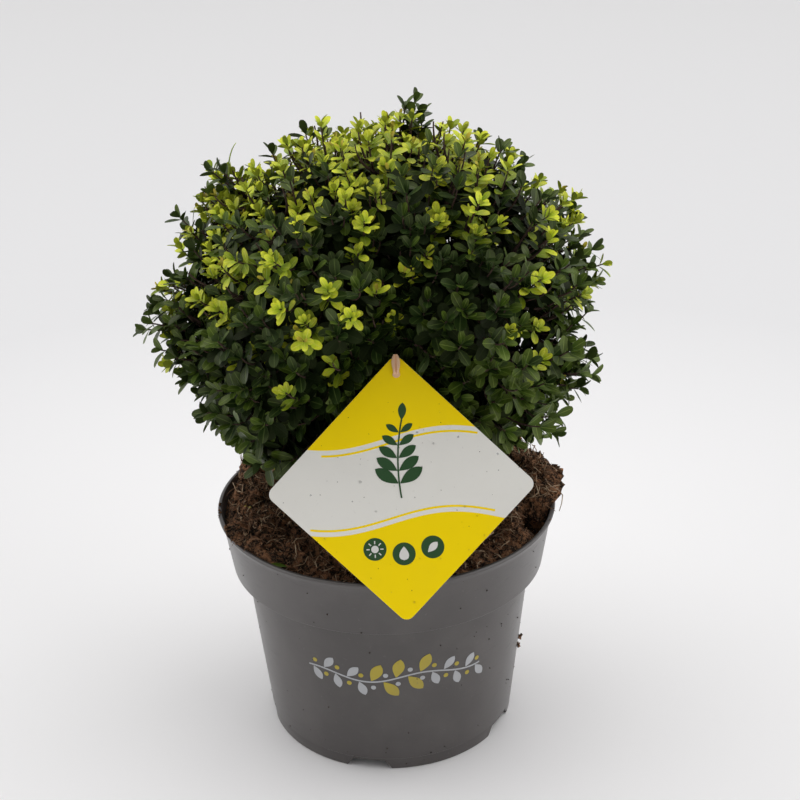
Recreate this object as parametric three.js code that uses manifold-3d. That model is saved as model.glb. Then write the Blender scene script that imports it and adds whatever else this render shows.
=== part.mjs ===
// A small-leaved holly grown as a ball, standing in its round plastic nursery pot with a label card.
// Millimetres, +Z up. The origin is the middle of the pot's underside, and the card hangs on the -Y side.
import * as THREE from "three";
import { mergeVertices } from "three/addons/utils/BufferGeometryUtils.js";
import Module from "manifold-3d";

const wasm = await Module();
wasm.setup();

// Driving dimensions

const GAP = 0.3; // clearance between neighbouring solids
const ROUND = 40; // facets round the pot and the compost

const POT = {
  height: 185,
  rimRadius: 130,
  bandTopRadius: 127, // outside of the deep rim band, just under the lip
  bandFootRadius: 121,
  bandFoot: 138, // height of the step under the band
  bodyTopRadius: 111.5,
  baseRadius: 97,
  wall: 2,
  lip: 3.4, // the rolled lip is thicker
  padRadius: 58, // the middle of the floor rests on the ground
  channelHeight: 9, // the ring round it is raised and drains through the notches
};
const NOTCH = { count: 5, first: -100.5, footWidth: 36, topWidth: 24, height: 8, drainRadius: 7 };

const COMPOST = {
  level: 191, // at the pot's axis
  rise: 14, // higher at the back, lower at the front
  dip: 6,
  shoulder: 8, // the root ball stands up along both sides
  lean: 3,
  roughness: 1.6,
  plateau: 194, // flat round the stem
  plateauRadius: 20,
  spill: 7, // how far the root ball leans out over the lip on the right
};

const CROWN = {
  centre: new THREE.Vector3(2, 8, 338),
  halfWidth: 161,
  halfDepth: 154,
  halfHeight: 150,
  core: 0.8, // outside of a mass's dense core, as a share of the crown's reach
  ragged: 0.24, // how far its surface dips between the leaves
  hollow: 0.4, // inside of it, where the limbs run
  well: 42, // and the room round the trunk's lower half
  skirt: -64, // degrees below which the crown is open to the stem
  seam: 1.5, // half the gap between two cores
};

// The crown's masses, by the way they face from its centre, in degrees. Azimuth 0 is +X and -90 is the front.
const MASSES = [
  { name: "top", azimuth: 0, elevation: 90 },
  ...["back_right", "back_left", "front_left", "front_right"].map((name, i) => ({
    name: `upper_${name}`,
    azimuth: 45 + 90 * i,
    elevation: 30,
  })),
  ...["front", "right", "back_right", "back_left", "left"].map((name, i) => ({
    name: `lower_${name}`,
    azimuth: -90 + 72 * i,
    elevation: -20,
  })),
];

// Free sprigs that stand out past the ball: the way they face, and how far they reach from the crown's centre
const SPRIGS = [
  { azimuth: 182, elevation: -4, reach: 187 },
  { azimuth: 178, elevation: 8, reach: 180 },
  { azimuth: 176, elevation: 37, reach: 168 },
  { azimuth: -10, elevation: 81, reach: 161 },
  { azimuth: 2, elevation: 11, reach: 170 },
  { azimuth: -3, elevation: -19, reach: 171 },
  { azimuth: 1, elevation: -36, reach: 172 },
  { azimuth: 183, elevation: -38, reach: 164 },
  { azimuth: 80, elevation: 4, reach: 168 },
  { azimuth: 118, elevation: 42, reach: 164 },
];

const SHOOTS = 70; // main shoots spread evenly over the whole ball
const LEAVES = 3; // round each shoot, with two more at its tip
const SPRIG_LEAVES = 5;
const LEAF = { length: 33, width: 20, thickness: 1.4 };
const TWIG = { rootRadius: 2.4, tipRadius: 1.5 };

const TRUNK = { flareRadius: 15, radius: 9.5, tipRadius: 4.6, flareHeight: 22 };
const BOUGH = { radius: 5, tipRadius: 3.6, sides: 7 };

const CARD = { side: 132.5, thickness: 0.8, cornerRadius: 6, lean: 20, turn: 1.2, x: 11.6, z: 248.2 };
const SLOT = { fromTop: 17, width: 7, height: 5.4 };
const STAKE = { width: 5, thickness: 1.8, footY: -111, footZ: 142, headLength: 17, headWidth: 7 };

// Small helpers

const rad = THREE.MathUtils.degToRad;
const smooth = (x, from, to) => THREE.MathUtils.smoothstep(x, from, to);
const GOLDEN = Math.PI * (3 - Math.sqrt(5));

function facing(azimuth, elevation) {
  const a = rad(azimuth);
  const e = rad(elevation);
  return new THREE.Vector3(Math.cos(a) * Math.cos(e), Math.sin(a) * Math.cos(e), Math.sin(e));
}

// A repeatable number from 0 to 1 for item k, one stream for each salt
function dealt(k, salt) {
  const s = Math.sin(k * 12.9898 + salt * 78.233) * 43758.5453;
  return s - Math.floor(s);
}

// The solid that a closed geometry encloses
function solid(geometry) {
  const bare = new THREE.BufferGeometry().setAttribute("position", geometry.getAttribute("position"));
  bare.setIndex(geometry.index);
  const merged = mergeVertices(bare, 1e-3);
  const index = merged.index.array;
  const kept = [];
  for (let i = 0; i < index.length; i += 3) {
    const [a, b, c] = [index[i], index[i + 1], index[i + 2]];
    if (a !== b && b !== c && c !== a) kept.push(a, b, c);
  }
  const vertProperties = merged.attributes.position.array;
  const make = (triVerts) => new wasm.Manifold(new wasm.Mesh({ numProp: 3, vertProperties, triVerts }));
  const made = make(new Uint32Array(kept));
  if (made.volume() > 0) return made;
  for (let i = 0; i < kept.length; i += 3) [kept[i], kept[i + 1]] = [kept[i + 1], kept[i]];
  return make(new Uint32Array(kept));
}

// Only the largest body of a solid, without loose scraps or sealed hollows
function largest(made) {
  return made.decompose().reduce((best, body) => (body.volume() > best.volume() ? body : best));
}

function moved(geometry, matrix) {
  return geometry.clone().applyMatrix4(matrix);
}

const group = new THREE.Group();

function add(name, made, material) {
  const { vertProperties, triVerts } = made.getMesh();
  const geometry = new THREE.BufferGeometry()
    .setAttribute("position", new THREE.BufferAttribute(vertProperties, 3))
    .setIndex(new THREE.BufferAttribute(triVerts, 1));
  geometry.computeVertexNormals();
  const mesh = new THREE.Mesh(geometry, material);
  mesh.name = name;
  group.add(mesh);
  return made;
}

const material = (color, roughness) => new THREE.MeshStandardMaterial({ color, roughness, metalness: 0 });
const plastic = material(0x57524d, 0.45);
const peat = material(0x2e2018, 0.95);
const bark = material(0x4a3d33, 0.85);
const foliage = material(0x2c4420, 0.5);
const printed = material(0xe3e1da, 0.35);
const stakePlastic = material(0xcfa27c, 0.5);

// A turned shape from [radius, height] pairs
function turned(profile) {
  const points = profile.map(([r, z]) => new THREE.Vector2(r, z));
  return new THREE.LatheGeometry(points, ROUND).rotateX(Math.PI / 2);
}

// A limb: a cylinder bent along a curve, with its radius given along the way
function limb(curve, radiusAt, sides, steps, grow = 0) {
  const geometry = new THREE.CylinderGeometry(1, 1, 1, sides, steps);
  const frames = curve.computeFrenetFrames(steps, false);
  const position = geometry.getAttribute("position");
  for (let i = 0; i < position.count; i++) {
    const step = Math.round((position.getY(i) + 0.5) * steps);
    const radius = radiusAt(step / steps) + grow;
    const point = curve
      .getPoint(step / steps)
      .addScaledVector(frames.normals[step], position.getX(i) * radius)
      .addScaledVector(frames.binormals[step], position.getZ(i) * radius);
    position.setXYZ(i, point.x, point.y, point.z);
  }
  return solid(geometry);
}

// The pot

const { wall, channelHeight, padRadius } = POT;
const floorTop = channelHeight + wall;
const footInside = POT.baseRadius - 3;

// The pot's inside from the middle of its floor up to the lip
const insideProfile = [
  [0, wall],
  [padRadius - 2.2, wall],
  [padRadius + 1.5, floorTop],
  [POT.baseRadius - wall + 1, floorTop],
  [POT.bodyTopRadius - wall, POT.bandFoot],
  [POT.bandFootRadius - wall, POT.bandFoot + wall],
  [POT.rimRadius - POT.lip, POT.height],
];

// The inside of the rim band at a height
function insideRadius(z) {
  const [[footRadius, foot], [lipRadius, lip]] = insideProfile.slice(-2);
  return THREE.MathUtils.mapLinear(Math.min(z, lip), foot, lip, footRadius, lipRadius);
}

function potSolid() {
  const outside = [
    [0, 0],
    [padRadius, 0],
    [padRadius + 3, channelHeight],
    [footInside, channelHeight],
    [footInside, 0],
    [POT.baseRadius, 0],
    [POT.bodyTopRadius, POT.bandFoot],
    [POT.bandFootRadius - 1, POT.bandFoot - 0.6],
    [POT.bandFootRadius, POT.bandFoot + 0.8],
    [POT.bandTopRadius, POT.height - 9],
    [POT.rimRadius - 1, POT.height - 5],
    [POT.rimRadius, POT.height - 2],
    [POT.rimRadius - 0.7, POT.height],
  ];
  let made = solid(turned([...outside, ...[...insideProfile].reverse()]));
  const { footWidth, topWidth, height, drainRadius } = NOTCH;
  const notch = new THREE.Shape([
    new THREE.Vector2(-footWidth / 2 - 1, -1),
    new THREE.Vector2(footWidth / 2 + 1, -1),
    new THREE.Vector2(topWidth / 2, height),
    new THREE.Vector2(-topWidth / 2, height),
  ]);
  const reach = 12;
  // Drawn across +X, standing up, and running out along the radius
  const cutter = new THREE.ExtrudeGeometry(notch, { depth: reach, bevelEnabled: false })
    .rotateX(Math.PI / 2)
    .rotateZ(Math.PI / 2)
    .translate(POT.baseRadius - reach / 2, 0, 0);
  const drain = new THREE.CylinderGeometry(drainRadius, drainRadius, 3 * wall, 16)
    .rotateX(Math.PI / 2)
    .translate((padRadius + footInside) / 2 + 2, 0, channelHeight + wall / 2);
  for (let i = 0; i < NOTCH.count; i++) {
    const turn = new THREE.Matrix4().makeRotationZ(rad(NOTCH.first + (360 / NOTCH.count) * i));
    made = made.subtract(solid(moved(cutter, turn))).subtract(solid(moved(drain, turn)));
  }
  return made;
}

// The compost and root ball

function compostTop(x, y) {
  const u = x / POT.rimRadius;
  const v = y / POT.rimRadius;
  const lumps = Math.sin(x * 0.11 + y * 0.05 + 1) + Math.sin(y * 0.13 - x * 0.07) + Math.sin((x + y) * 0.21);
  const tilt = COMPOST.rise * v - COMPOST.dip * v * v + COMPOST.lean * u + COMPOST.shoulder * u * u;
  const mound = COMPOST.level + tilt + COMPOST.roughness * lumps;
  const free = smooth(Math.hypot(x, y), COMPOST.plateauRadius, 2.2 * COMPOST.plateauRadius);
  return THREE.MathUtils.lerp(COMPOST.plateau, mound, free);
}

// Turned to the pot's inside, then its top rows are laid on the compost's uneven surface
function compostSolid() {
  const lip = POT.height;
  const sides = insideProfile.slice(0, 6).map(([r, z]) => [Math.max(0, r - GAP), z + GAP]);
  const rows = [112, 92, 66, 42, COMPOST.plateauRadius, 0];
  const flat = ["wall", "lip", "edge", ...rows].map((row, i) => [rows[i - 3] ?? 120, lip + i]);
  const geometry = turned([...sides, ...flat]);
  const position = geometry.getAttribute("position");
  for (let i = 0; i < position.count; i++) {
    const row = Math.round(position.getZ(i) - lip);
    if (row < 0) continue;
    const turn = Math.atan2(position.getY(i), position.getX(i));
    const top = (r) => compostTop(r * Math.cos(turn), r * Math.sin(turn));
    const proud = smooth(top(insideRadius(lip)), lip, lip + 8); // 1 where the compost stands over the lip
    let r = Math.hypot(position.getX(i), position.getY(i));
    let z = top(r);
    if (row < 2) {
      const low = top(120) - 3 + row;
      z = THREE.MathUtils.lerp(Math.min(low, lip - 2 + row), lip - 2 + 2.8 * row, proud);
      r = insideRadius(z) - GAP;
    } else if (row === 2) {
      z = top(120) - 1.5 - 4 * proud;
      const over = smooth(z, lip + 1, lip + 6) * Math.max(0, Math.cos(turn)) ** 3;
      r = insideRadius(z) - 1.6 + (COMPOST.spill + 1.6) * over;
    }
    position.setXYZ(i, r * Math.cos(turn), r * Math.sin(turn), z);
  }
  return solid(geometry);
}

// The label card and its stake

const cardNormal = new THREE.Vector3(0, -Math.cos(rad(CARD.lean)), Math.sin(rad(CARD.lean)));
const lipClearance = 0.9;
const cardCentre = new THREE.Vector3(
  CARD.x,
  -(POT.rimRadius + lipClearance) + (CARD.z - POT.height) * Math.tan(rad(CARD.lean)),
  CARD.z,
);
const cardFrame = (() => {
  const right = new THREE.Vector3(1, 0, 0);
  const up = new THREE.Vector3().crossVectors(cardNormal, right);
  const turn = new THREE.Matrix4().makeRotationZ(rad(CARD.turn));
  return new THREE.Matrix4().makeBasis(right, up, cardNormal).setPosition(cardCentre).multiply(turn);
})();
const halfDiagonal = (CARD.side * Math.SQRT2) / 2;
const slotUp = halfDiagonal - SLOT.fromTop;
const toCard = cardFrame.clone().invert();

function cardSolid() {
  const half = CARD.side / 2;
  const r = CARD.cornerRadius;
  const outline = new THREE.Shape();
  outline.moveTo(-half + r, -half).lineTo(half - r, -half);
  outline.absarc(half - r, -half + r, r, -Math.PI / 2, 0);
  outline.absarc(half - r, half - r, r, 0, Math.PI / 2);
  outline.absarc(-half + r, half - r, r, Math.PI / 2, Math.PI);
  outline.absarc(-half + r, -half + r, r, Math.PI, 1.5 * Math.PI);
  const plate = new THREE.ExtrudeGeometry(outline, {
    depth: CARD.thickness,
    bevelEnabled: false,
    curveSegments: 6,
  })
    .translate(0, 0, -CARD.thickness / 2)
    .rotateZ(Math.PI / 4);
  const slot = new THREE.BoxGeometry(SLOT.width, SLOT.height, 4 * CARD.thickness).translate(0, slotUp, 0);
  return solid(moved(plate, cardFrame)).subtract(solid(moved(slot, cardFrame)));
}

// The stake's foot in the card's own frame: x across, y up the card, z out of its face
const stakeFoot = new THREE.Vector3(CARD.x, STAKE.footY, STAKE.footZ).applyMatrix4(toCard);
const stakeBack = -CARD.thickness / 2 - 1.2 - STAKE.thickness;

function stakeSolid() {
  const t = STAKE.thickness;
  const front = CARD.thickness / 2 + 0.7;
  // Side view, z to the right and y up. It climbs behind the card, steps through the slot and stands up
  // in front.
  const side = new THREE.Shape([
    new THREE.Vector2(stakeFoot.z, stakeFoot.y),
    new THREE.Vector2(stakeFoot.z + t, stakeFoot.y),
    new THREE.Vector2(stakeBack + t, slotUp - 2.6),
    new THREE.Vector2(front + t, slotUp + 2.2),
    new THREE.Vector2(front + t, slotUp + 7),
    new THREE.Vector2(front, slotUp + 7),
    new THREE.Vector2(front, slotUp + 3),
    new THREE.Vector2(stakeBack, slotUp - 1.8),
  ]);
  const strip = new THREE.ExtrudeGeometry(side, { depth: STAKE.width, bevelEnabled: false })
    .translate(0, 0, -STAKE.width / 2)
    .rotateY(-Math.PI / 2)
    .scale(-1, 1, 1);
  const { headLength, headWidth } = STAKE;
  const leaf = new THREE.Shape();
  leaf.moveTo(-1.8, 0).lineTo(1.8, 0);
  leaf.quadraticCurveTo(headWidth / 2 + 0.6, 0.45 * headLength, headWidth / 2 - 0.6, 0.6 * headLength);
  leaf.quadraticCurveTo(headWidth / 4, headLength, 0, headLength);
  leaf.quadraticCurveTo(-headWidth / 4, headLength, -headWidth / 2 + 0.6, 0.6 * headLength);
  leaf.quadraticCurveTo(-headWidth / 2 - 0.6, 0.45 * headLength, -1.8, 0);
  const head = new THREE.ExtrudeGeometry(leaf, { depth: t + 0.6, bevelEnabled: false, curveSegments: 5 });
  head.translate(0, slotUp + 3.2, front - 0.3);
  return solid(moved(strip, cardFrame)).add(solid(moved(head, cardFrame)));
}

// The hole that the stake makes in the compost
function stakeHole() {
  const foot = new THREE.Vector3(0, stakeFoot.y, stakeFoot.z + STAKE.thickness / 2);
  const lean = Math.atan2(stakeBack - stakeFoot.z, slotUp - stakeFoot.y);
  const deep = new THREE.BoxGeometry(STAKE.width + 2 * GAP, 120, STAKE.thickness + 3 * GAP)
    .translate(0, 60 - GAP, 0)
    .rotateX(lean)
    .translate(foot.x, foot.y, foot.z);
  return solid(moved(deep, cardFrame));
}

// The crown's outline

const centre = CROWN.centre;

// How far the clipped ball reaches from its centre in a direction. The card presses it in at the front.
function reach(direction) {
  const { x, y, z } = direction;
  const ball = 1 / Math.hypot(x / CROWN.halfWidth, y / CROWN.halfDepth, z / CROWN.halfHeight);
  const swell =
    0.03 * Math.sin(3.1 * x - 2.3 * z + 1.2) * Math.cos(2.7 * y + 0.6) +
    0.022 * Math.sin(6.3 * y + 4.1 * x + 2);
  const free = ball * (1 + swell);
  const towards = direction.dot(cardNormal);
  if (towards < 0.1) return free;
  const toPlane = cardCentre.clone().sub(centre).dot(cardNormal) / towards;
  const hit = centre.clone().addScaledVector(direction, toPlane).applyMatrix4(toCard);
  const outside = Math.abs(hit.x) + Math.abs(hit.y) - halfDiagonal;
  const pressed = 1 - smooth(outside, 4, 60);
  return THREE.MathUtils.lerp(free, Math.min(free, toPlane - 7), pressed);
}

MASSES.forEach((mass) => (mass.direction = facing(mass.azimuth, mass.elevation)));

function massFacing(direction) {
  return MASSES.reduce((best, mass) =>
    mass.direction.dot(direction) > best.direction.dot(direction) ? mass : best,
  );
}

// How far a point is inside a mass's own cone, seen from its neighbours
function roomInCone(mass, offset) {
  return Math.min(
    ...MASSES.filter((other) => other !== mass).map((other) => {
      const across = mass.direction.clone().sub(other.direction).normalize();
      return offset.dot(across);
    }),
  );
}

function aboveSkirt(offset, degrees) {
  return Math.atan2(offset.z, Math.hypot(offset.x, offset.y)) > rad(degrees);
}

const slotPoint = new THREE.Vector3(0, slotUp, stakeBack).applyMatrix4(cardFrame);
const stakeLine = new THREE.Line3(new THREE.Vector3(CARD.x, STAKE.footY, STAKE.footZ), slotPoint);

function clearOfCard(point) {
  const local = point.clone().applyMatrix4(toCard);
  const overCard = Math.abs(local.x) + Math.abs(local.y) < halfDiagonal + 10;
  if (overCard && local.z > -3) return false;
  const nearest = stakeLine.closestPointToPoint(point, true, new THREE.Vector3());
  return nearest.distanceTo(point) > 6;
}

function inCore(mass, point) {
  const offset = point.clone().sub(centre);
  const share = offset.length() / reach(offset.clone().normalize());
  return (
    share > CROWN.hollow &&
    share < CROWN.core &&
    (offset.z > 0 || Math.hypot(offset.x, offset.y) > CROWN.well) &&
    aboveSkirt(offset, CROWN.skirt) &&
    roomInCone(mass, offset) > CROWN.seam
  );
}

// A leaf or twig point keeps to its mass's cone, over the compost and behind the card
function inSpace(mass, point, furthest) {
  const offset = point.clone().sub(centre);
  return (
    offset.length() < furthest &&
    aboveSkirt(offset, CROWN.skirt - 7) &&
    roomInCone(mass, offset) > GAP + 0.3 &&
    point.z > compostTop(point.x, point.y) + 6 &&
    clearOfCard(point)
  );
}

// A mass's dense core: a ball of rays from its middle, each stopped at the edge of the core's space
function coreSolid(mass) {
  const middle = centre.clone().addScaledVector(mass.direction, 0.58 * reach(mass.direction));
  const geometry = new THREE.IcosahedronGeometry(1, 2);
  const position = geometry.getAttribute("position");
  for (let i = 0; i < position.count; i++) {
    const ray = new THREE.Vector3().fromBufferAttribute(position, i).normalize();
    let inside = 0;
    let outside = CROWN.halfWidth;
    for (let n = 0; n < 20; n++) {
      const middleWay = (inside + outside) / 2;
      if (inCore(mass, middle.clone().addScaledVector(ray, middleWay))) inside = middleWay;
      else outside = middleWay;
    }
    const dip = 0.5 + 0.5 * Math.sin(43 * ray.x + 61 * ray.y + 89 * ray.z);
    const point = middle.clone().addScaledVector(ray, inside * (1 - CROWN.ragged * dip));
    position.setXYZ(i, point.x, point.y, point.z);
  }
  return solid(geometry);
}

// Foliage

// A blunt, egg-shaped blade along +Y: five points round it and one on its ridge
function leafPoints(length) {
  const w = (LEAF.width / 2) * (length / LEAF.length);
  return [
    [0, 0, 0],
    [w, 0.5 * length, 0],
    [0.55 * w, 0.95 * length, 0],
    [-0.55 * w, 0.95 * length, 0],
    [-w, 0.5 * length, 0],
    [0, 0.55 * length, LEAF.thickness],
  ].map((p) => new THREE.Vector3(...p));
}

// Each side of the outline joined to the ridge, and the flat underside
const LEAF_FACES = [0, 1, 5, 1, 2, 5, 2, 3, 5, 3, 4, 5, 4, 0, 5, 0, 4, 1, 1, 4, 2, 2, 4, 3];

function leafSolid(points) {
  const geometry = new THREE.BufferGeometry().setFromPoints(points).setIndex(LEAF_FACES);
  return solid(geometry);
}

// Places a leaf at a point on a twig, leaning away from it round the clock
function leafFrame(base, along, clock, lean) {
  const aside = new THREE.Vector3(0, 0, 1).cross(along);
  if (aside.length() < 0.1) aside.set(1, 0, 0);
  aside.normalize().applyAxisAngle(along, clock);
  const axis = along.clone().multiplyScalar(Math.cos(lean)).addScaledVector(aside, Math.sin(lean));
  const face = along.clone().addScaledVector(axis, -along.dot(axis)).normalize();
  const across = new THREE.Vector3().crossVectors(axis, face);
  return new THREE.Matrix4().makeBasis(across, axis, face).setPosition(base);
}

// Every main shoot of the crown: the way it faces and how far its tip reaches
function mainShoots() {
  const shoots = [];
  for (let k = 0; k < SHOOTS; k++) {
    const z = 1 - (2 * (k + 0.5)) / SHOOTS;
    const level = Math.sqrt(1 - z * z);
    const clock = k * GOLDEN;
    const direction = new THREE.Vector3(level * Math.cos(clock), level * Math.sin(clock), z);
    direction.x += 0.08 * (dealt(k, 1) - 0.5);
    direction.y += 0.08 * (dealt(k, 2) - 0.5);
    direction.z += 0.08 * (dealt(k, 3) - 0.5);
    direction.normalize();
    const mass = massFacing(direction);
    while (roomInCone(mass, direction) < 0.05) direction.addScaledVector(mass.direction, 0.02).normalize();
    const tip = reach(direction) * (0.95 + 0.05 * dealt(k, 4));
    if (aboveSkirt(direction, CROWN.skirt)) shoots.push({ k, direction, tip });
  }
  SPRIGS.forEach(({ azimuth, elevation, reach: tip }, i) => {
    shoots.push({ k: 1001 + i, direction: facing(azimuth, elevation), tip, free: true });
  });
  return shoots;
}

// Two ways that a mass's stem passes: out of its core towards the limb, and on to the core's middle
function stemOf(mass) {
  const inner = CROWN.hollow * reach(mass.direction);
  const from = centre.clone().addScaledVector(mass.direction, inner - 8);
  const to = centre.clone().addScaledVector(mass.direction, inner + 22);
  return { from, to };
}

// Leaves round a shoot on the golden angle from where it leaves the core, and two more at its tip.
// A leaf that would leave the mass's space is turned round the shoot, or left out if that doesn't help.
function shootLeaves(mass, { k, tip, free }, curve) {
  const count = free ? SPRIG_LEAVES : LEAVES;
  const first = free ? 0.52 : 0.76;
  const leaves = [];
  for (let n = 0; n < count + 2; n++) {
    const atTip = n >= count;
    const s = atTip ? 1 : first + ((1 - first) * n) / count;
    const along = curve.getTangent(s);
    const base = curve.getPoint(s).addScaledVector(along, -1.2);
    const offset = base.clone().sub(centre);
    const swallowed = offset.length() < (CROWN.core - 0.08) * reach(offset.normalize());
    const lean = atTip ? 0.45 : 1.3 - 0.35 * s;
    const clock = n * GOLDEN + (atTip ? Math.PI * n : 0) + 6.28 * dealt(k, 5);
    const length = LEAF.length * (0.88 + 0.24 * dealt(100 * k + n, 6)) * (atTip ? 0.85 : 1);
    const blades = [0, 1, 2, 3].map((turn) => {
      const frame = leafFrame(base, along, clock + 1.7 * turn, lean);
      return leafPoints(length).map((p) => p.applyMatrix4(frame));
    });
    const fitting = blades.find((points) => points.every((p) => inSpace(mass, p, tip + 4)));
    if (!swallowed && fitting) leaves.push(leafSolid(fitting));
  }
  return leaves;
}

// A mass: its core, its stem, and the shoots that stand out of it
function foliageSolid(mass, shoots) {
  const stem = stemOf(mass);
  const stemLine = new THREE.LineCurve3(stem.from, stem.to);
  const parts = [coreSolid(mass), limb(stemLine, () => BOUGH.tipRadius, 7, 1)];
  for (const shoot of shoots) {
    const { direction, tip } = shoot;
    const end = centre.clone().addScaledVector(direction, tip - 0.62 * LEAF.length);
    const bend = centre.clone().addScaledVector(direction, 0.62 * reach(direction));
    const curve = new THREE.CatmullRomCurve3([stem.to, bend, end]);
    const taper = (s) => THREE.MathUtils.lerp(TWIG.rootRadius, TWIG.tipRadius, s);
    parts.push(limb(curve, taper, 3, 2), ...shootLeaves(mass, shoot, curve));
  }
  return largest(wasm.Manifold.union(parts));
}

// Trunk and boughs

const topMass = MASSES[0];
const soilLine = COMPOST.plateau + GAP;
const trunkFoot = new THREE.Vector3(0, 0, soilLine - 4);
const leaderTip = stemOf(topMass).from.addScaledVector(topMass.direction, -GAP);
const trunkCurve = new THREE.CatmullRomCurve3([
  trunkFoot,
  new THREE.Vector3(-1.5, 1, trunkFoot.z + 25),
  new THREE.Vector3(3, 5, trunkFoot.z + 90),
  new THREE.Vector3(leaderTip.x, leaderTip.y, leaderTip.z - 30),
  leaderTip,
]);

function trunkRadius(s) {
  const height = s * (leaderTip.z - trunkFoot.z);
  const flare = (TRUNK.flareRadius - TRUNK.radius) * (1 - smooth(height, 0, TRUNK.flareHeight));
  return TRUNK.radius + (TRUNK.tipRadius - TRUNK.radius) * s + flare;
}

// The trunk is cut flat where it meets the compost
function trunkSolid(grow) {
  const ground = new THREE.BoxGeometry(80, 80, 20).translate(0, 0, soilLine - 10);
  return limb(trunkCurve, trunkRadius, 10, 12, grow).subtract(solid(ground));
}

// One tapering limb from the trunk's middle to just short of its mass's stem, cut clear of the trunk
function boughSolid(mass, order) {
  const tip = stemOf(mass).from.addScaledVector(mass.direction, -GAP);
  const lower = mass.elevation < 0;
  const leaves = lower ? 0.2 + 0.035 * order : 0.44 + 0.04 * order;
  const root = trunkCurve.getPoint(leaves);
  const outwards = tip.clone().sub(root).setZ(0).normalize();
  const knee = root.clone().addScaledVector(outwards, 14);
  knee.z += lower ? 22 : 26;
  const before = tip.clone().addScaledVector(mass.direction, -12);
  const curve = new THREE.CatmullRomCurve3([root, knee, before, tip]);
  const taper = (s) => BOUGH.radius + (BOUGH.tipRadius - BOUGH.radius) * s;
  return largest(limb(curve, taper, BOUGH.sides, 7).subtract(trunkSolid(GAP)));
}

// The whole plant

add("pot", potSolid(), plastic);
add("compost", compostSolid().subtract(stakeHole()), peat);
add("label_card", cardSolid(), printed);
add("label_stake", stakeSolid(), stakePlastic);
add("trunk", trunkSolid(0), bark);

MASSES.slice(1).forEach((mass, i) => {
  const order = mass.elevation < 0 ? i - 4 : i;
  add(`bough_${mass.name}`, boughSolid(mass, order), bark);
});

const shoots = mainShoots();
for (const mass of MASSES) {
  const own = shoots.filter(({ direction }) => massFacing(direction) === mass);
  add(`foliage_${mass.name}`, foliageSolid(mass, own), foliage);
}

export default group;
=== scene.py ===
# %% [markdown]
# # A potted holly ball
#
# This lesson dresses the plain solids of a potted holly ball. The solids come in as a fixed frame, and
# each of them is replaced by a finished piece that keeps to the same place and reach. Sizes are in
# millimetres, and a mesh turns them into metres when it is made.

import math

import bmesh
import bpy
import numpy as np
from mathutils import Matrix, Vector


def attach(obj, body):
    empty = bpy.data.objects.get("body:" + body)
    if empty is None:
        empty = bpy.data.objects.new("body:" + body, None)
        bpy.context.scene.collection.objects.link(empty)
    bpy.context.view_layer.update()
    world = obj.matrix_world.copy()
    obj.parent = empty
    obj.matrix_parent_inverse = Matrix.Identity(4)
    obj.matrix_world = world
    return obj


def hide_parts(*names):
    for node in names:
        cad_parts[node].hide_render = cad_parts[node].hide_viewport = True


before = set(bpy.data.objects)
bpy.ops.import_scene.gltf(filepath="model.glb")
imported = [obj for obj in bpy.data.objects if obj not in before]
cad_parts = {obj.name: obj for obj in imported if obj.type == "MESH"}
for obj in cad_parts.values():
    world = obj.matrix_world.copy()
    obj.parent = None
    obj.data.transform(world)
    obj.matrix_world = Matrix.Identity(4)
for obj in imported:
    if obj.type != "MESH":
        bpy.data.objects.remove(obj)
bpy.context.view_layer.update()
print("frame nodes:", len(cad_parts))

# %% [markdown]
# ## The sizes that everything follows from
#
# The origin is the middle of the pot's underside. +Z points up and the card hangs on the -Y side.
# The pot, compost, crown and card keep the sizes that the solids were built from.

# %% Driving sizes
MM = 0.001
GAP = 0.3

POT_HEIGHT = 185
LIP_RADIUS = 130
BAND_TOP_RADIUS = 127
BAND_FOOT_RADIUS = 121
BAND_FOOT = 138
BODY_TOP_RADIUS = 111.5
BODY_FOOT = 10.2
BASE_RADIUS = 97
WALL = 2
PAD_RADIUS = 58
CHANNEL = 9
NOTCHES = 5
FIRST_NOTCH = -100.5
NOTCH_SIZE = (37, 12, 8, 24)  # width at its foot, depth, height and width at its top
DRAIN_RADIUS = 7
DRAIN_PLACE = 79

COMPOST_LEVEL = 191
COMPOST_FLOOR = 120
PLATEAU = 194
PLATEAU_RADIUS = 20
OVER_LIP = 187  # compost above this height is free of the wall

CENTRE = np.array([2.0, 8.0, 338.0])
HALF_SIZE = np.array([161.0, 154.0, 150.0])
HOLLOW = 0.4
SKIRT = -64
SHOOT_REACH = 0.8  # where main shoots end, as a share of the crown's reach
SHOOT_STEPS = 9
TWIG_STEPS = 8

TRUNK_RADIUS = 9.5
TRUNK_TIP_RADIUS = 4.6
TRUNK_FLARE = 5.5
BOUGH_RADII = (5, 3.6)  # at its root and at its tip

CARD_SIDE = 132.5
CARD_CORNER = 6
CARD_LEAN = math.radians(20)
CARD_TURN = math.radians(1.2)
CARD_X = 11.6
CARD_Z = 248.2
CARD_THICKNESS = 0.8
SLOT_FROM_TOP = 14.3
PRINT = 0.12  # thickness of one layer of ink

MAIN_SHOOTS = 96
OUTER_TWIGS = 1180
INNER_TWIGS = 640
BARE_TWIGS = 200
MOST_TRIANGLES = 190000  # in one piece

rng = np.random.default_rng(7)
print("pot, crown and card, in mm:", 2 * LIP_RADIUS, 2 * HALF_SIZE, CARD_SIDE)

# %% [markdown]
# ## Small tools
#
# A shrub has thousands of leaves and twigs. Each could be an object of its own, but so many objects are
# slow to make and to draw. So the plant is built as arrays: all the leaves of one age, or all the twigs,
# become one mesh in one step. `mesh_piece` turns arrays into an object, `ride` sets it on the plant's one
# body, `tubes` wraps closed tubes round many paths at once, and `turned` spins rings round the axis.


# %% Tools for meshes
def unit(v):
    return v / np.maximum(np.linalg.norm(v, axis=-1, keepdims=True), 1e-9)


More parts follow.
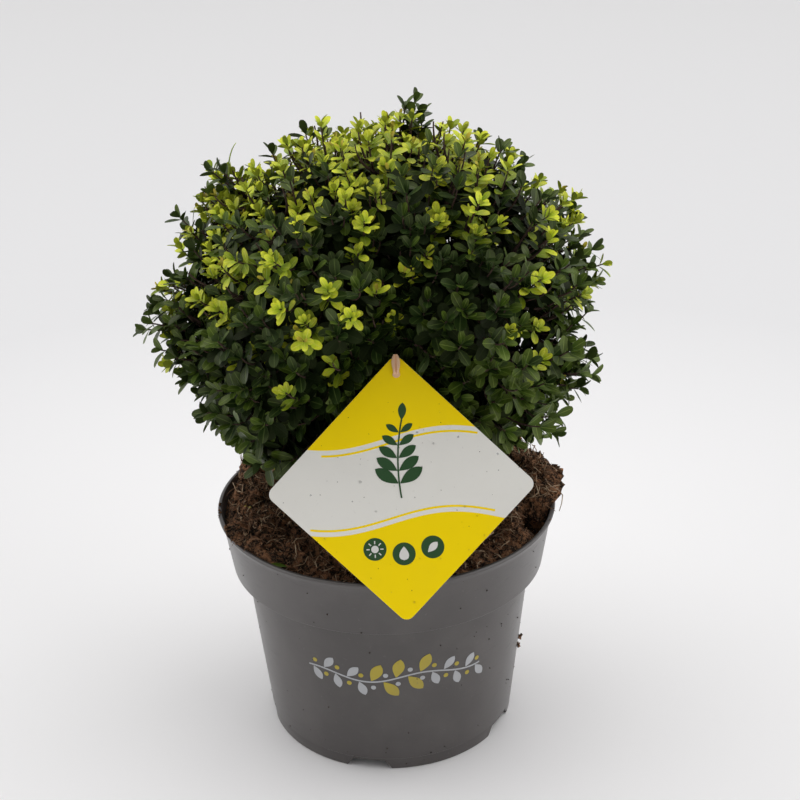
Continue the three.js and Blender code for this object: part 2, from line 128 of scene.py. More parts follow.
def smooth(x, low, high):
    t = np.clip((x - low) / (high - low), 0, 1)
    return t * t * (3 - 2 * t)


def facing(azimuth, elevation):
    """Directions from angles in degrees. Azimuth 0 is +X and -90 is the front."""
    a, e = np.radians(azimuth), np.radians(elevation)
    return np.stack([np.cos(a) * np.cos(e), np.sin(a) * np.cos(e), np.sin(e)], -1)


def outwards(obj):
    """Turns every face of a closed piece to look outwards."""
    shape = bmesh.new()
    shape.from_mesh(obj.data)
    bmesh.ops.recalc_face_normals(shape, faces=shape.faces)
    shape.to_mesh(obj.data)
    shape.free()
    return obj


def ride(obj, slot, *replaced):
    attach(obj, "root")
    if replaced:
        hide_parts(*replaced)
    return obj


def mesh_piece(name, points, faces, material, uv=None, flat=False):
    mesh = bpy.data.meshes.new(name)
    mesh.from_pydata((np.asarray(points) * MM).tolist(), [], [list(map(int, f)) for f in faces])
    if uv is not None:
        layer = mesh.uv_layers.new(name="leaf")
        corners = np.empty(len(mesh.loops), int)
        mesh.loops.foreach_get("vertex_index", corners)
        layer.data.foreach_set("uv", uv[corners].astype(np.float32).ravel())
    if not flat:
        mesh.shade_smooth()
    mesh.materials.append(material)
    mesh.update()
    obj = bpy.data.objects.new(name, mesh)
    bpy.context.scene.collection.objects.link(obj)
    return obj


def sharpen(obj, degrees=32):
    """Marks the edges that turn more than this as sharp, so that a smooth mesh keeps its creases."""
    mesh = obj.data
    normals = [p.normal.copy() for p in mesh.polygons]
    sides = {}
    for polygon in mesh.polygons:
        for key in polygon.edge_keys:
            sides.setdefault(key, []).append(polygon.index)
    limit = math.cos(math.radians(degrees))
    for edge in mesh.edges:
        pair = sides.get(edge.key, [])
        edge.use_edge_sharp = len(pair) == 2 and normals[pair[0]].dot(normals[pair[1]]) < limit
    return obj


def tubes(paths, radii, sides, relief=None):
    """Points and triangles of closed tubes: paths is (n, m, 3) and radii is (n, m)."""
    n, m, _ = paths.shape
    along = unit(np.gradient(paths, axis=1))
    upright = np.abs(along[:, :1, 2:]) > 0.8
    reference = np.where(upright, [1.0, 0.0, 0.0], [0.0, 0.0, 1.0])
    across = unit(np.cross(reference, along))
    up = np.cross(along, across)
    turn = 2 * np.pi * np.arange(sides) / sides
    ring = across[:, :, None] * np.cos(turn)[:, None] + up[:, :, None] * np.sin(turn)[:, None]
    reach = radii[:, :, None, None] * np.ones((1, 1, sides, 1))
    if relief is not None:
        reach = reach * relief(paths, turn)[..., None]
    wall = (paths[:, :, None] + reach * ring).reshape(n, -1, 3)
    points = np.concatenate([wall, paths[:, :1], paths[:, -1:]], 1).reshape(-1, 3)
    j = np.arange(sides)
    k = (j + 1) % sides
    start, end = m * sides, m * sides + 1
    faces = [np.stack([np.full(sides, start), k, j], 1)]
    for i in range(m - 1):
        a, b = i * sides, (i + 1) * sides
        faces.append(np.stack([a + j, a + k, b + k], 1))
        faces.append(np.stack([a + j, b + k, b + j], 1))
    last = (m - 1) * sides
    faces.append(np.stack([np.full(sides, end), last + j, last + k], 1))
    faces = np.concatenate(faces)
    shift = (m * sides + 2) * np.arange(n)
    return points, (faces[None] + shift[:, None, None]).reshape(-1, 3)


def smooth_path(knots, steps):
    """A Catmull-Rom curve through the knots, as an even number of points between each two."""
    knots = np.asarray(knots, float)
    padded = np.concatenate([[2 * knots[0] - knots[1]], knots, [2 * knots[-1] - knots[-2]]])
    t = np.linspace(0, 1, steps, endpoint=False)[:, None]
    pieces = []
    for a, b, c, d in zip(padded, padded[1:], padded[2:], padded[3:]):
        pieces.append(
            0.5 * (2 * b + (c - a) * t + (2 * a - 5 * b + 4 * c - d) * t**2 + (3 * b - a - 3 * c + d) * t**3)
        )
    return np.concatenate([*pieces, knots[-1:]])


def joined(parts):
    """Several (points, faces) as the points and faces of one mesh."""
    points, faces, base = [], [], 0
    for some, corners in parts:
        points.append(some)
        faces += [[base + i for i in face] for face in corners]
        base += len(some)
    return np.concatenate(points), faces


def turned(rings, segments, bottom, top):
    """Points and faces of a shape round Z from rings of (radius, height), closed at two heights."""
    turn = 2 * np.pi * np.arange(segments) / segments
    points = [np.stack([r * np.cos(turn), r * np.sin(turn), z + 0 * turn], 1) for r, z in rings]
    points = np.concatenate([*points, [[0, 0, bottom], [0, 0, top]]])
    j = np.arange(segments)
    k = (j + 1) % segments
    faces = [[len(points) - 2, b, a] for a, b in zip(j, k)]
    for a in range(0, (len(rings) - 1) * segments, segments):
        b = a + segments
        faces += np.stack([a + j, a + k, b + k, b + j], 1).tolist()
    last = (len(rings) - 1) * segments
    return points, faces + [[len(points) - 1, last + a, last + b] for a, b in zip(j, k)]


def cut(obj, tool, operation="DIFFERENCE"):
    """A Boolean with a throwaway tool, applied to the mesh."""
    modifier = obj.modifiers.new("cut", "BOOLEAN")
    modifier.operation = operation
    modifier.solver = "EXACT"
    modifier.object = tool
    bpy.context.view_layer.update()
    evaluated = obj.evaluated_get(bpy.context.evaluated_depsgraph_get())
    made = bpy.data.meshes.new_from_object(evaluated)
    obj.modifiers.clear()
    obj.data = made
    bpy.data.objects.remove(tool)
    return obj


# %% [markdown]
# ## Materials
#
# Nothing on a real plant or pot has one flat colour. A picture could give the change, but it has to be
# fitted to each shape, so each surface gets a procedural material. What several materials share, such as
# the way a leaf's colour varies or how dirt lies on plastic, is a node group that gives out colours and
# values. The shader itself stays in the material.


# %% Tools for node trees
def new_group(name, inputs, outputs, tree="ShaderNodeTree"):
    """A node group, the sockets of its inputs, and its output node. Sockets are given as name: kind."""
    group = bpy.data.node_groups.new(name, tree)
    for direction, sockets in (("INPUT", inputs), ("OUTPUT", outputs)):
        for label, kind in sockets.items():
            group.interface.new_socket(label, in_out=direction, socket_type=f"NodeSocket{kind}")
    return group, group.nodes.new("NodeGroupInput").outputs, group.nodes.new("NodeGroupOutput")


def node(tree, kind, settings=None, **inputs):
    """Adds a node. Settings are its properties, and inputs are values or sockets by input name."""
    made = tree.nodes.new(kind)
    for key, value in (settings or {}).items():
        setattr(made, key, value)
    return feed(tree, made, **inputs)


def plug(tree, socket, value):
    if isinstance(value, bpy.types.NodeSocket):
        tree.links.new(value, socket)
    else:
        socket.default_value = value


def feed(tree, made, **inputs):
    """Fills a node's inputs by name, with values or with sockets to link."""
    for key, value in inputs.items():
        plug(tree, made.inputs[key.replace("_", " ")], value)
    return made


def maths(tree, operation, *values, clamp=False):
    made = tree.nodes.new("ShaderNodeMath")
    made.operation = operation
    made.use_clamp = clamp
    for socket, value in zip(made.inputs, values):
        plug(tree, socket, value)
    return made.outputs[0]


def added(tree, *values):
    return maths(tree, "ADD", *values)


def times(tree, *values, clamp=False):
    return maths(tree, "MULTIPLY", *values, clamp=clamp)


def axes_of(tree, vector):
    return node(tree, "ShaderNodeSeparateXYZ", Vector=vector).outputs


def vector_maths(tree, operation, vector):
    made = node(tree, "ShaderNodeVectorMath", {"operation": operation})
    tree.links.new(vector, made.inputs[0])
    return made


def mixed(tree, factor, a, b, blend="MIX"):
    made = tree.nodes.new("ShaderNodeMix")
    made.data_type = "RGBA"
    made.blend_type = blend
    plug(tree, made.inputs["Factor"], factor)
    plug(tree, made.inputs[6], a)
    plug(tree, made.inputs[7], b)
    return made.outputs[2]


def ranged(tree, value, low, high, to_low=0.0, to_high=1.0):
    made = tree.nodes.new("ShaderNodeMapRange")
    for socket, number in zip(made.inputs, (value, low, high, to_low, to_high)):
        plug(tree, socket, number)
    return made.outputs[0]


def noise(tree, scale, detail=3.0, roughness=0.5, vector=None):
    where = vector or tree.nodes.new("ShaderNodeTexCoord").outputs["Object"]
    inputs = {"Vector": where, "Scale": scale, "Detail": detail, "Roughness": roughness}
    return node(tree, "ShaderNodeTexNoise", **inputs).outputs[0]


def bump(tree, height, strength, distance):
    return node(tree, "ShaderNodeBump", Strength=strength, Distance=distance, Height=height).outputs[0]


def new_material(name, roughness=0.5, specular=0.5):
    material = bpy.data.materials.new(name)
    material.use_nodes = True
    tree = material.node_tree
    shader = tree.nodes["Principled BSDF"]
    feed(tree, shader, Roughness=roughness, Specular_IOR_Level=specular)
    return material, tree, shader


def rgb(r, g, b):
    return (r, g, b, 1.0)


# %% [markdown]
# A holly leaf is glossy, with a paler midrib, a greener base, a lighter tip and a colour that drifts a
# little from leaf to leaf. The underside is paler and duller. Veins could be modelled, but with so many
# leaves each has only a few faces, so midrib, veins and a painted highlight along the rim are drawn from
# the leaf's own UV map, which runs across it and along it. Young leaves are lime, and they darken as they
# age, so there is one material for each age, and the sprays are dealt their leaves from these. The
# darkest, deep, is partly old leaves and partly painted shade inside the crown.


# %% Leaf materials
def leaf_blade_group():
    """A leaf's colour and relief: midrib, a painted highlight along the edge, veins, a paler tip and a drift
    from leaf to leaf.
    """
    colours = {"Blade": "Color", "Rib": "Color"}
    group, source, out = new_group("leaf blade", colours, {"Color": "Color", "Height": "Float"})
    place = node(group, "ShaderNodeUVMap", {"uv_map": "leaf"}).outputs[0]
    across, along, _ = axes_of(group, place)
    aside = maths(group, "ABSOLUTE", maths(group, "SUBTRACT", across, 0.5))
    midrib = ranged(group, aside, 0.02, 0.06, 1.0, 0.0)
    # The pale strip along the edge, mixed in with the rib colour, is a painted highlight.
    painted_rim_highlight = ranged(group, aside, 0.45, 0.49)
    rib_and_rim_highlight = added(group, midrib, times(group, painted_rim_highlight, 0.7))
    slant = maths(group, "SUBTRACT", along, times(group, aside, 0.6))
    veins = maths(group, "SINE", times(group, slant, 44.0))
    drift = noise(group, 55.0, 2.0)
    fine = noise(group, 900.0, 3.0)
    broad = ranged(group, drift, 0.3, 0.7, 0.62, 1.35)
    grained = added(group, broad, ranged(group, fine, 0.3, 0.7, -0.12, 0.12))
    shade = times(group, grained, ranged(group, along, 0.0, 0.9, 0.68, 1.14))
    tint = mixed(group, ranged(group, along, 0.1, 0.75), rgb(0.72, 0.95, 0.9), rgb(1, 1, 1))
    tinted = mixed(group, 1.0, source["Blade"], tint, "MULTIPLY")
    shaded = vector_maths(group, "SCALE", tinted)
    feed(group, shaded, Scale=shade)
    colour = mixed(group, times(group, rib_and_rim_highlight, 0.6), shaded.outputs[0], source["Rib"])
    veined = added(group, times(group, veins, 0.12), times(group, midrib, -0.6))
    feed(group, out, Color=colour, Height=added(group, veined, times(group, fine, 0.25)))
    return group


LEAF_BLADE = leaf_blade_group()
LEAF_SHINE = rgb(0.95, 1.0, 0.5)


def leaf_material(name, blade, rib_and_rim_highlight, under, roughness, specular=0.34):
    material, tree, shader = new_material(name, roughness, specular=specular)
    look = node(tree, "ShaderNodeGroup", {"node_tree": LEAF_BLADE}, Blade=blade, Rib=rib_and_rim_highlight).outputs
    back = tree.nodes.new("ShaderNodeNewGeometry").outputs["Backfacing"]
    relief = bump(tree, look["Height"], 0.35, 0.0004)
    dullness = ranged(tree, back, 0, 1, roughness, 0.6)
    colour = mixed(tree, back, look["Color"], under)
    feed(tree, shader, Specular_Tint=LEAF_SHINE, Base_Color=colour, Roughness=dullness, Normal=relief)
    return material


# Each age as blade, rib and underside colours, a roughness and where it differs a strength of shine. The
# rib colour also paints a highlight along the rim, and deep is partly old leaves, partly painted shade.
LEAF_LOOKS = {
    "lime": (rgb(0.575, 0.61, 0.036), rgb(0.68, 0.69, 0.16), rgb(0.4, 0.45, 0.05), 0.38),
    "fresh": (rgb(0.235, 0.295, 0.016), rgb(0.39, 0.45, 0.09), rgb(0.2, 0.25, 0.04), 0.36),
    "green": (rgb(0.058, 0.092, 0.011), rgb(0.2, 0.27, 0.055), rgb(0.08, 0.12, 0.028), 0.32),
    "dark": (rgb(0.018, 0.035, 0.0075), rgb(0.115, 0.165, 0.045), rgb(0.04, 0.064, 0.018), 0.3),
    "deep": (rgb(0.008, 0.014, 0.004), rgb(0.018, 0.028, 0.009), rgb(0.012, 0.02, 0.007), 0.5, 0.12),
    "bronze": (rgb(0.42, 0.34, 0.035), rgb(0.5, 0.4, 0.08), rgb(0.33, 0.27, 0.05), 0.4),
}
LEAF_AGES = {age: leaf_material(f"leaf {age}", *look) for age, look in LEAF_LOOKS.items()}
print("leaf ages:", list(LEAF_AGES))


# %% [markdown]
# Bark, twigs, compost, plastic and card. Dust gathers on the pot as faint paler patches, and its satin
# surface has fine scuffs. The compost is almost black where it is moist, with redder fibres on top. One
# noise could blotch each of them, but it would look like a pattern, so a broad noise gives the blotches
# and a fine one the grain.


# %% Other materials
def bark_material(name, dark, pale, scale):
    material, tree, shader = new_material(name, 0.85, specular=0.25)
    coarse = noise(tree, scale, 6.0, 0.65)
    fine = noise(tree, scale * 6, 4.0, 0.6)
    colour = mixed(tree, ranged(tree, coarse, 0.35, 0.65), dark, pale)
    height = added(tree, coarse, times(tree, fine, 0.4))
    feed(tree, shader, Base_Color=colour, Normal=bump(tree, height, 0.7, 0.001))
    return material


def compost_material(name, dark, pale, red):
    material, tree, shader = new_material(name, 0.95, specular=0.2)
    lumps = noise(tree, 210.0, 8.0, 0.78)
    grain = noise(tree, 800.0, 6.0, 0.75)
    base = mixed(tree, ranged(tree, lumps, 0.47, 0.58), dark, red)
    colour = mixed(tree, ranged(tree, grain, 0.53, 0.7), base, pale)
    height = added(tree, lumps, times(tree, grain, 0.5))
    feed(tree, shader, Base_Color=colour, Normal=bump(tree, height, 1.0, 0.003))
    return material


def plastic_group():
    """Satin plastic in use: faint dust, mottling and fine scuffs, as a colour, a roughness and a height."""
    group, source, out = new_group(
        "used plastic",
        {"Plastic": "Color", "Dust": "Color", "Soiling": "Float"},
        {"Color": "Color", "Roughness": "Float", "Height": "Float"},
    )
    cloud = noise(group, 22.0, 5.0, 0.6)
    specks = noise(group, 420.0, 2.0, 0.5)
    grain = noise(group, 1800.0, 2.0, 0.5)
    where = group.nodes.new("ShaderNodeTexCoord").outputs["Object"]
    stretched = node(group, "ShaderNodeMapping", Vector=where, Scale=(60.0, 60.0, 900.0)).outputs[0]
    scuffs = ranged(group, noise(group, 1.0, 3.0, 0.55, stretched), 0.62, 0.72)
    dust = added(group, ranged(group, cloud, 0.45, 0.75), ranged(group, specks, 0.68, 0.75))
    amount = times(group, dust, source["Soiling"], clamp=True)
    colour = mixed(group, amount, source["Plastic"], source["Dust"])
    rough = added(group, ranged(group, cloud, 0.3, 0.7, 0.3, 0.4), times(group, scuffs, 0.12))
    height = maths(group, "SUBTRACT", times(group, grain, 0.3), times(group, scuffs, 0.25))
    feed(group, out, Color=colour, Roughness=rough, Height=height)
    return group


USED_PLASTIC = plastic_group()


def plastic_material(name, colour, dust, soiling, bumps=0.25, gloss=0.5, sheen=0.0):
    material, tree, shader = new_material(name, specular=gloss)
    group = {"node_tree": USED_PLASTIC}
    look = node(tree, "ShaderNodeGroup", group, Plastic=colour, Dust=dust, Soiling=soiling).outputs
    relief = bump(tree, look["Height"], bumps, 0.0003)
    feed(tree, shader, Base_Color=look["Color"], Roughness=look["Roughness"], Normal=relief)
    feed(tree, shader, Sheen_Weight=sheen, Sheen_Roughness=0.35)
    return material


BARK = bark_material("bark", rgb(0.035, 0.024, 0.018), rgb(0.12, 0.095, 0.075), 120.0)
TWIG = bark_material("twig bark", rgb(0.03, 0.016, 0.013), rgb(0.1, 0.06, 0.045), 260.0)
STRAW = bark_material("straw fibre", rgb(0.3, 0.18, 0.1), rgb(0.62, 0.47, 0.32), 200.0)
ROOT = bark_material("root fibre", rgb(0.1, 0.05, 0.028), rgb(0.32, 0.18, 0.1), 200.0)
YOUNG_STEM = bark_material("young stem", rgb(0.2, 0.3, 0.05), rgb(0.42, 0.5, 0.12), 200.0)
SOIL_BLACK, SOIL_RED = rgb(0.016, 0.009, 0.006), rgb(0.33, 0.155, 0.075)
COMPOST = compost_material("compost", SOIL_BLACK, rgb(0.44, 0.28, 0.165), SOIL_RED)
CRUMB_RED = rgb(0.42, 0.205, 0.105)
CRUMB = compost_material("compost crumbs", rgb(0.025, 0.014, 0.009), rgb(0.48, 0.31, 0.185), CRUMB_RED)
DIRT_RED = rgb(0.06, 0.034, 0.022)
DIRT = compost_material("dirt specks", rgb(0.02, 0.012, 0.009), rgb(0.11, 0.07, 0.05), DIRT_RED)
POT = plastic_material("pot plastic", rgb(0.034, 0.027, 0.025), rgb(0.14, 0.127, 0.12), 0.24, 0.25, 0.9, 0.12)
POT_WHITE = plastic_material("pot print white", rgb(0.42, 0.43, 0.45), rgb(0.2, 0.19, 0.18), 0.35, 0.15, 0.6)
POT_YELLOW = plastic_material(
    "pot print yellow", rgb(0.42, 0.33, 0.02), rgb(0.16, 0.14, 0.08), 0.35, 0.15, 0.6
)
CARD = plastic_material("card", rgb(0.8, 0.785, 0.735), rgb(0.45, 0.42, 0.36), 0.1, 0.08, 0.4)
YELLOW = plastic_material("print yellow", rgb(0.98, 0.72, 0.0), rgb(0.5, 0.38, 0.05), 0.06, 0.08, 0.12)
GREEN = plastic_material("print green", rgb(0.02, 0.07, 0.02), rgb(0.05, 0.08, 0.04), 0.1, 0.08, 0.3)
WHITE = plastic_material("print white", rgb(0.72, 0.71, 0.68), rgb(0.4, 0.38, 0.34), 0.2, 0.08, 0.3)
TAN = plastic_material("stake plastic", rgb(0.86, 0.55, 0.34), rgb(0.5, 0.32, 0.2), 0.2, gloss=0.35)
print("other materials:", [m.name for m in (BARK, TWIG, COMPOST, POT, CARD, TAN)])

# %% [markdown]
# ## The pot
#
# A moulded nursery pot has one outline all round: a foot, a slightly tapering body, a step out to the
# deep rim band, and a thin rolled lip. It could be drawn out of a cylinder by loop cuts, but turning its
# true profile keeps every height and radius a number that can be checked. Only the five notches and
# their drain holes break the round, so a Boolean cuts them in one loop.


# %% Pot
def arc(centre_r, centre_z, radius, start, end, steps=5):
    turn = np.radians(np.linspace(start, end, steps))
    return [[centre_r + radius * math.cos(a), centre_z + radius * math.sin(a)] for a in turn]


def pot_profile():
    foot_inside = BASE_RADIUS - 3
    outside = [
        [PAD_RADIUS - 1, 0],
        [PAD_RADIUS, 0.5],
        [PAD_RADIUS + 3, CHANNEL],
        [foot_inside, CHANNEL],
        [foot_inside, 0.4],
        [foot_inside + 0.4, 0],
        *arc(BASE_RADIUS - 1.2, 1.2, 1.2, -90, -6, 4),
        [BASE_RADIUS + 0.2, 9.5],
        [BASE_RADIUS + 0.9, BODY_FOOT],
        [BODY_TOP_RADIUS - 0.6, BAND_FOOT - 5],
        [BODY_TOP_RADIUS - 0.2, BAND_FOOT - 1.6],
        *arc(BODY_TOP_RADIUS + 1.3, BAND_FOOT - 1.6, 1.3, 180, 90, 4),
        *arc(BAND_FOOT_RADIUS - 1.1, BAND_FOOT + 0.8, 1.1, -90, 0, 4),
        [BAND_TOP_RADIUS - 0.3, POT_HEIGHT - 9],
        *arc(LIP_RADIUS, POT_HEIGHT - 7, 2.4, 180, 130, 3),
        *arc(LIP_RADIUS - 1.5, POT_HEIGHT - 1.8, 1.5, -60, 90, 6),
        [LIP_RADIUS - 2.6, POT_HEIGHT - 0.3],
    ]
    inside = [
        [LIP_RADIUS - 3.4, POT_HEIGHT - 1.5],
        [BAND_FOOT_RADIUS - WALL + 0.6, BAND_FOOT + 6],
        [BAND_FOOT_RADIUS - WALL, BAND_FOOT + WALL],
        [BODY_TOP_RADIUS - WALL, BAND_FOOT],
        [BASE_RADIUS - WALL + 1, CHANNEL + WALL],
        [PAD_RADIUS + 1.5, CHANNEL + WALL],
        [PAD_RADIUS - 2.2, WALL],
    ]
    return outside + inside


def box_tool(width, depth, height, top_width, place):
    """A wedge-sided block, wider at its foot, at a place given as a matrix."""
    w, t, d = width / 2, top_width / 2, depth / 2
    low = [[-d, -w, -1], [d, -w, -1], [d, w, -1], [-d, w, -1]]
    high = [[-d, -t, height], [d, -t, height], [d, t, height], [-d, t, height]]
    faces = [[3, 2, 1, 0], [4, 5, 6, 7], [0, 1, 5, 4], [1, 2, 6, 5], [2, 3, 7, 6], [3, 0, 4, 7]]
    tool = mesh_piece("tool", low + high, faces, POT, flat=True)
    tool.data.transform(place)
    return tool


pot = mesh_piece("pot", *turned(pot_profile(), 160, 0, WALL), POT)
for i in range(NOTCHES):
    turn = Matrix.Rotation(math.radians(FIRST_NOTCH + i * 360 / NOTCHES), 4, "Z")
    at_wall = Matrix.Translation((BASE_RADIUS * MM, 0, 0))
    cut(pot, box_tool(*NOTCH_SIZE, turn @ at_wall))
    drain_path = np.array([[[DRAIN_PLACE, 0, CHANNEL - 2], [DRAIN_PLACE, 0, CHANNEL + 4]]], float)
    drain = mesh_piece("tool", *tubes(drain_path, np.full((1, 2), DRAIN_RADIUS), 24), POT, flat=True)
    drain.data.transform(turn)
    cut(pot, drain)
pot.data.shade_smooth()
sharpen(pot)
ride(pot, "pot_plastic", "pot")
print("pot faces:", len(pot.data.polygons))

# %% [markdown]
# ## The compost
#
# The root ball fills the pot, lies low at the front and stands over the lip on the right. It could be
# sculpted, but a sculpture can't be changed by a number. So its top is a formula for the height at each
# place, its side follows the pot's inside, and geometry nodes roughen it and strew crumbs and straws over
# it.


# %% Compost
# Where it has sunk or swelled beside the wall: (turn and width in degrees, from radius, to radius, depth)
SUNK = [(343, 6, 100, 108, 40), (312, 34, 84, 118, 6), (30, 20, 90, 119, 8), (211, 8, 98, 116, -10)]


def compost_top(x, y):
    """Height of the compost before it settles: a lumpy mound with a flat round the stem."""
    u, v = x / LIP_RADIUS, y / LIP_RADIUS
    lumps = np.sin(x * 0.11 + y * 0.05 + 1) + np.sin(y * 0.13 - x * 0.07) + np.sin((x + y) * 0.21)
    mound = COMPOST_LEVEL + 14 * v - 6 * v * v + 3 * u + 8 * u * u + 1.6 * lumps
    free = smooth(np.hypot(x, y), PLATEAU_RADIUS, 2.2 * PLATEAU_RADIUS)
    return PLATEAU + (mound - PLATEAU) * free


def inside_radius(z):
    """Radius of the pot's inside at a height within its deep band."""
    share = (np.minimum(z, POT_HEIGHT) - BAND_FOOT - WALL) / (POT_HEIGHT - BAND_FOOT - WALL)
    return BAND_FOOT_RADIUS - WALL + share * (LIP_RADIUS - 3.4 - BAND_FOOT_RADIUS + WALL)


def fallen(turn):
    """How far the root ball has fallen away from the wall: on the left only."""
    angle = np.degrees(turn) % 360
    return smooth(angle, 154, 168) * (1 - smooth(angle, 194, 205))


def settled(z, radius, turn):
    """Lets the root ball sink beside the wall where it doesn't lean out over the lip."""
    z = z - fallen(turn) * smooth(radius, 104, 124) * np.maximum(z - POT_HEIGHT + 2.5, 0)
    for middle, width, start, end, depth in SUNK:
        off = np.degrees(np.arctan2(np.sin(turn - math.radians(middle)), np.cos(turn - math.radians(middle))))
        z = z - depth * np.exp(-((off / width) ** 2)) * smooth(radius, start, end)
    return z


def compost_mesh(segments=260, rows=100):
    """Points and faces of the root ball. It leans out over the lip on the right and at two other places."""
    turn = 2 * np.pi * np.arange(segments) / segments
    side = np.maximum(0, np.cos(turn)) ** 3
    for middle, width, share in ((145, 14, 0.5), (211, 7, 1.1)):
        side += share * np.exp(-(((np.degrees(turn) - middle) / width) ** 2))
    full_edge = compost_top(118 * np.cos(turn), 118 * np.sin(turn))
    proud = smooth(full_edge, POT_HEIGHT, POT_HEIGHT + 8)
    edge_top = settled(full_edge, 124, turn)
    rings = []
    for z in (COMPOST_FLOOR, 150):
        rings.append((min(inside_radius(z), 118.6) - 9.5 * (z < BAND_FOOT) - 1, z))
    for share in (0.5, 0.8, 0.95):
        z = 150 + (np.minimum(edge_top - 3, POT_HEIGHT - 3) - 150) * share
        rings.append((inside_radius(z) - 0.8, z))
    z = edge_top - 2 - 4 * proud
    over = smooth(z, POT_HEIGHT + 1, POT_HEIGHT + 6) * side
    drawn_in = 1.4 + 0.8 * fallen(turn)
    rings.append((inside_radius(z) - drawn_in + 7.4 * over, z))
    for radius in np.linspace(119, 1.5, rows):
        top = compost_top(radius * np.cos(turn), radius * np.sin(turn))
        rings.append((radius + 3 * over * smooth(radius, 100, 119), settled(top, radius, turn)))
    return turned(rings, segments, COMPOST_FLOOR, PLATEAU)


# %% [markdown]
# The surface is clods, crumbs, flakes and fibres in their thousands. Bump in the material could hint at
# them, but they cast shadows and hang over the lip, so they are real. Two small geometry-node trees make
# them. The first pushes the surface in and out with noise where it faces up, but hardly beside the pot's
# wall. The second scatters turned and scaled copies of one grain over the faces that face up and keep
# clear of the wall, then makes them real, so that no instance is left.


# %% Geometry nodes
def geometry_group(name, **inputs):
    """A group that takes in a geometry, a material and more inputs by name and gives out a geometry."""
    sockets = {"Geometry": "Geometry", "Material": "Material"}
    sockets.update((label.replace("_", " "), kind) for label, kind in inputs.items())
    return new_group(name, sockets, {"Geometry": "Geometry"}, "GeometryNodeTree")


def painted(group, source, out, geometry):
    """Gives the geometry the group's material and hands it out."""
    shown = node(group, "GeometryNodeSetMaterial", Geometry=geometry, Material=source["Material"])
    feed(group, out, Geometry=shown.outputs[0])
    return group


def around_axis(group, place):
    """A point's distance from the plant's axis and its height."""
    level = vector_maths(group, "MULTIPLY", place)
    level.inputs[1].default_value = (1, 1, 0)
    return vector_maths(group, "LENGTH", level.outputs[0]).outputs["Value"], axes_of(group, place)[2]


def roughen_group():
    """Pushes a surface in and out by clods and by grain, with less of both beside the pot's wall."""
    sizes = dict.fromkeys(["Clods", "Clod_Scale", "Grain", "Grain_Scale"], "Float")
    group, source, out = geometry_group("roughen", **sizes)
    place = group.nodes.new("GeometryNodeInputPosition").outputs[0]
    normal = group.nodes.new("GeometryNodeInputNormal").outputs[0]
    clods = noise(group, source["Clod Scale"], 4.0, 0.6, place)
    grain = noise(group, source["Grain Scale"], 5.0, 0.65, place)
    clod_push = times(group, maths(group, "SUBTRACT", clods, 0.46), source["Clods"])
    grain_push = times(group, maths(group, "SUBTRACT", grain, 0.5), source["Grain"])
    offset = vector_maths(group, "SCALE", normal)
    radius, height = around_axis(group, place)
    in_pot = maths(group, "LESS_THAN", height, OVER_LIP * MM)
    beside_wall = ranged(group, radius, 110 * MM, 120 * MM, 0.0, 0.85)
    held = times(group, in_pot, beside_wall)
    free = maths(group, "SUBTRACT", 1.0, held)
    push = times(group, added(group, clod_push, grain_push), free)
    feed(group, offset, Scale=push)
    upwards = axes_of(group, normal)[2]
    moved = node(group, "GeometryNodeSetPosition", Geometry=source["Geometry"], Offset=offset.outputs[0])
    feed(group, moved, Selection=maths(group, "GREATER_THAN", upwards, 0.15))
    return painted(group, source, out, moved.outputs[0])


def strew_group():
    """Scatters copies of a grain over the faces that face up, clear of the wall or above it."""
    measures = dict.fromkeys(["Density", "Smallest", "Largest", "Tilt", "Upwards", "Within"], "Float")
    group, source, out = geometry_group("strew", Grain="Object", Seed="Int", **measures)
    normal = group.nodes.new("GeometryNodeInputNormal").outputs[0]
    upwards = axes_of(group, normal)[2]
    radius, height = around_axis(group, group.nodes.new("GeometryNodeInputPosition").outputs[0])
    clear = maths(group, "LESS_THAN", radius, source["Within"])
    allowed = maths(group, "MAXIMUM", clear, maths(group, "GREATER_THAN", height, OVER_LIP * MM))
    chosen = times(group, allowed, maths(group, "GREATER_THAN", upwards, source["Upwards"]))
    points = node(
        group,
        "GeometryNodeDistributePointsOnFaces",
        Mesh=source["Geometry"],
        Selection=chosen,
        Density=source["Density"],
        Seed=source["Seed"],
    )
    grain = node(group, "GeometryNodeObjectInfo", Object=source["Grain"])
    tilt = node(group, "FunctionNodeRandomValue", {"data_type": "FLOAT_VECTOR"}, Seed=source["Seed"])
    back = times(group, source["Tilt"], -1.0)
    low = node(group, "ShaderNodeCombineXYZ", X=back, Y=back, Z=-3.14)
    high = node(group, "ShaderNodeCombineXYZ", X=source["Tilt"], Y=source["Tilt"], Z=3.14)
    group.links.new(low.outputs[0], tilt.inputs[0])
    group.links.new(high.outputs[0], tilt.inputs[1])
    size = node(group, "FunctionNodeRandomValue", {"data_type": "FLOAT"}, Seed=source["Seed"])
    plug(group, size.inputs[2], source["Smallest"])
    plug(group, size.inputs[3], source["Largest"])
    turned_grain = node(
        group, "FunctionNodeRotateRotation", {"rotation_space": "LOCAL"}, Rotation=points.outputs["Rotation"]
    )
    group.links.new(tilt.outputs[0], turned_grain.inputs[1])
    copies = node(
        group,
        "GeometryNodeInstanceOnPoints",
        Points=points.outputs["Points"],
        Instance=grain.outputs["Geometry"],
        Rotation=turned_grain.outputs[0],
        Scale=size.outputs[1],
    )
    real = node(group, "GeometryNodeRealizeInstances", Geometry=copies.outputs[0])
    return painted(group, source, out, real.outputs[0])


# %% [markdown]
# A tree works on an object through a modifier. Its result could stay there, but the pieces are handed on
# as plain meshes. So `grown` hangs the tree on a copy of the base, sets its inputs by their identifiers,
# keeps the result as a mesh and takes the modifier off again.


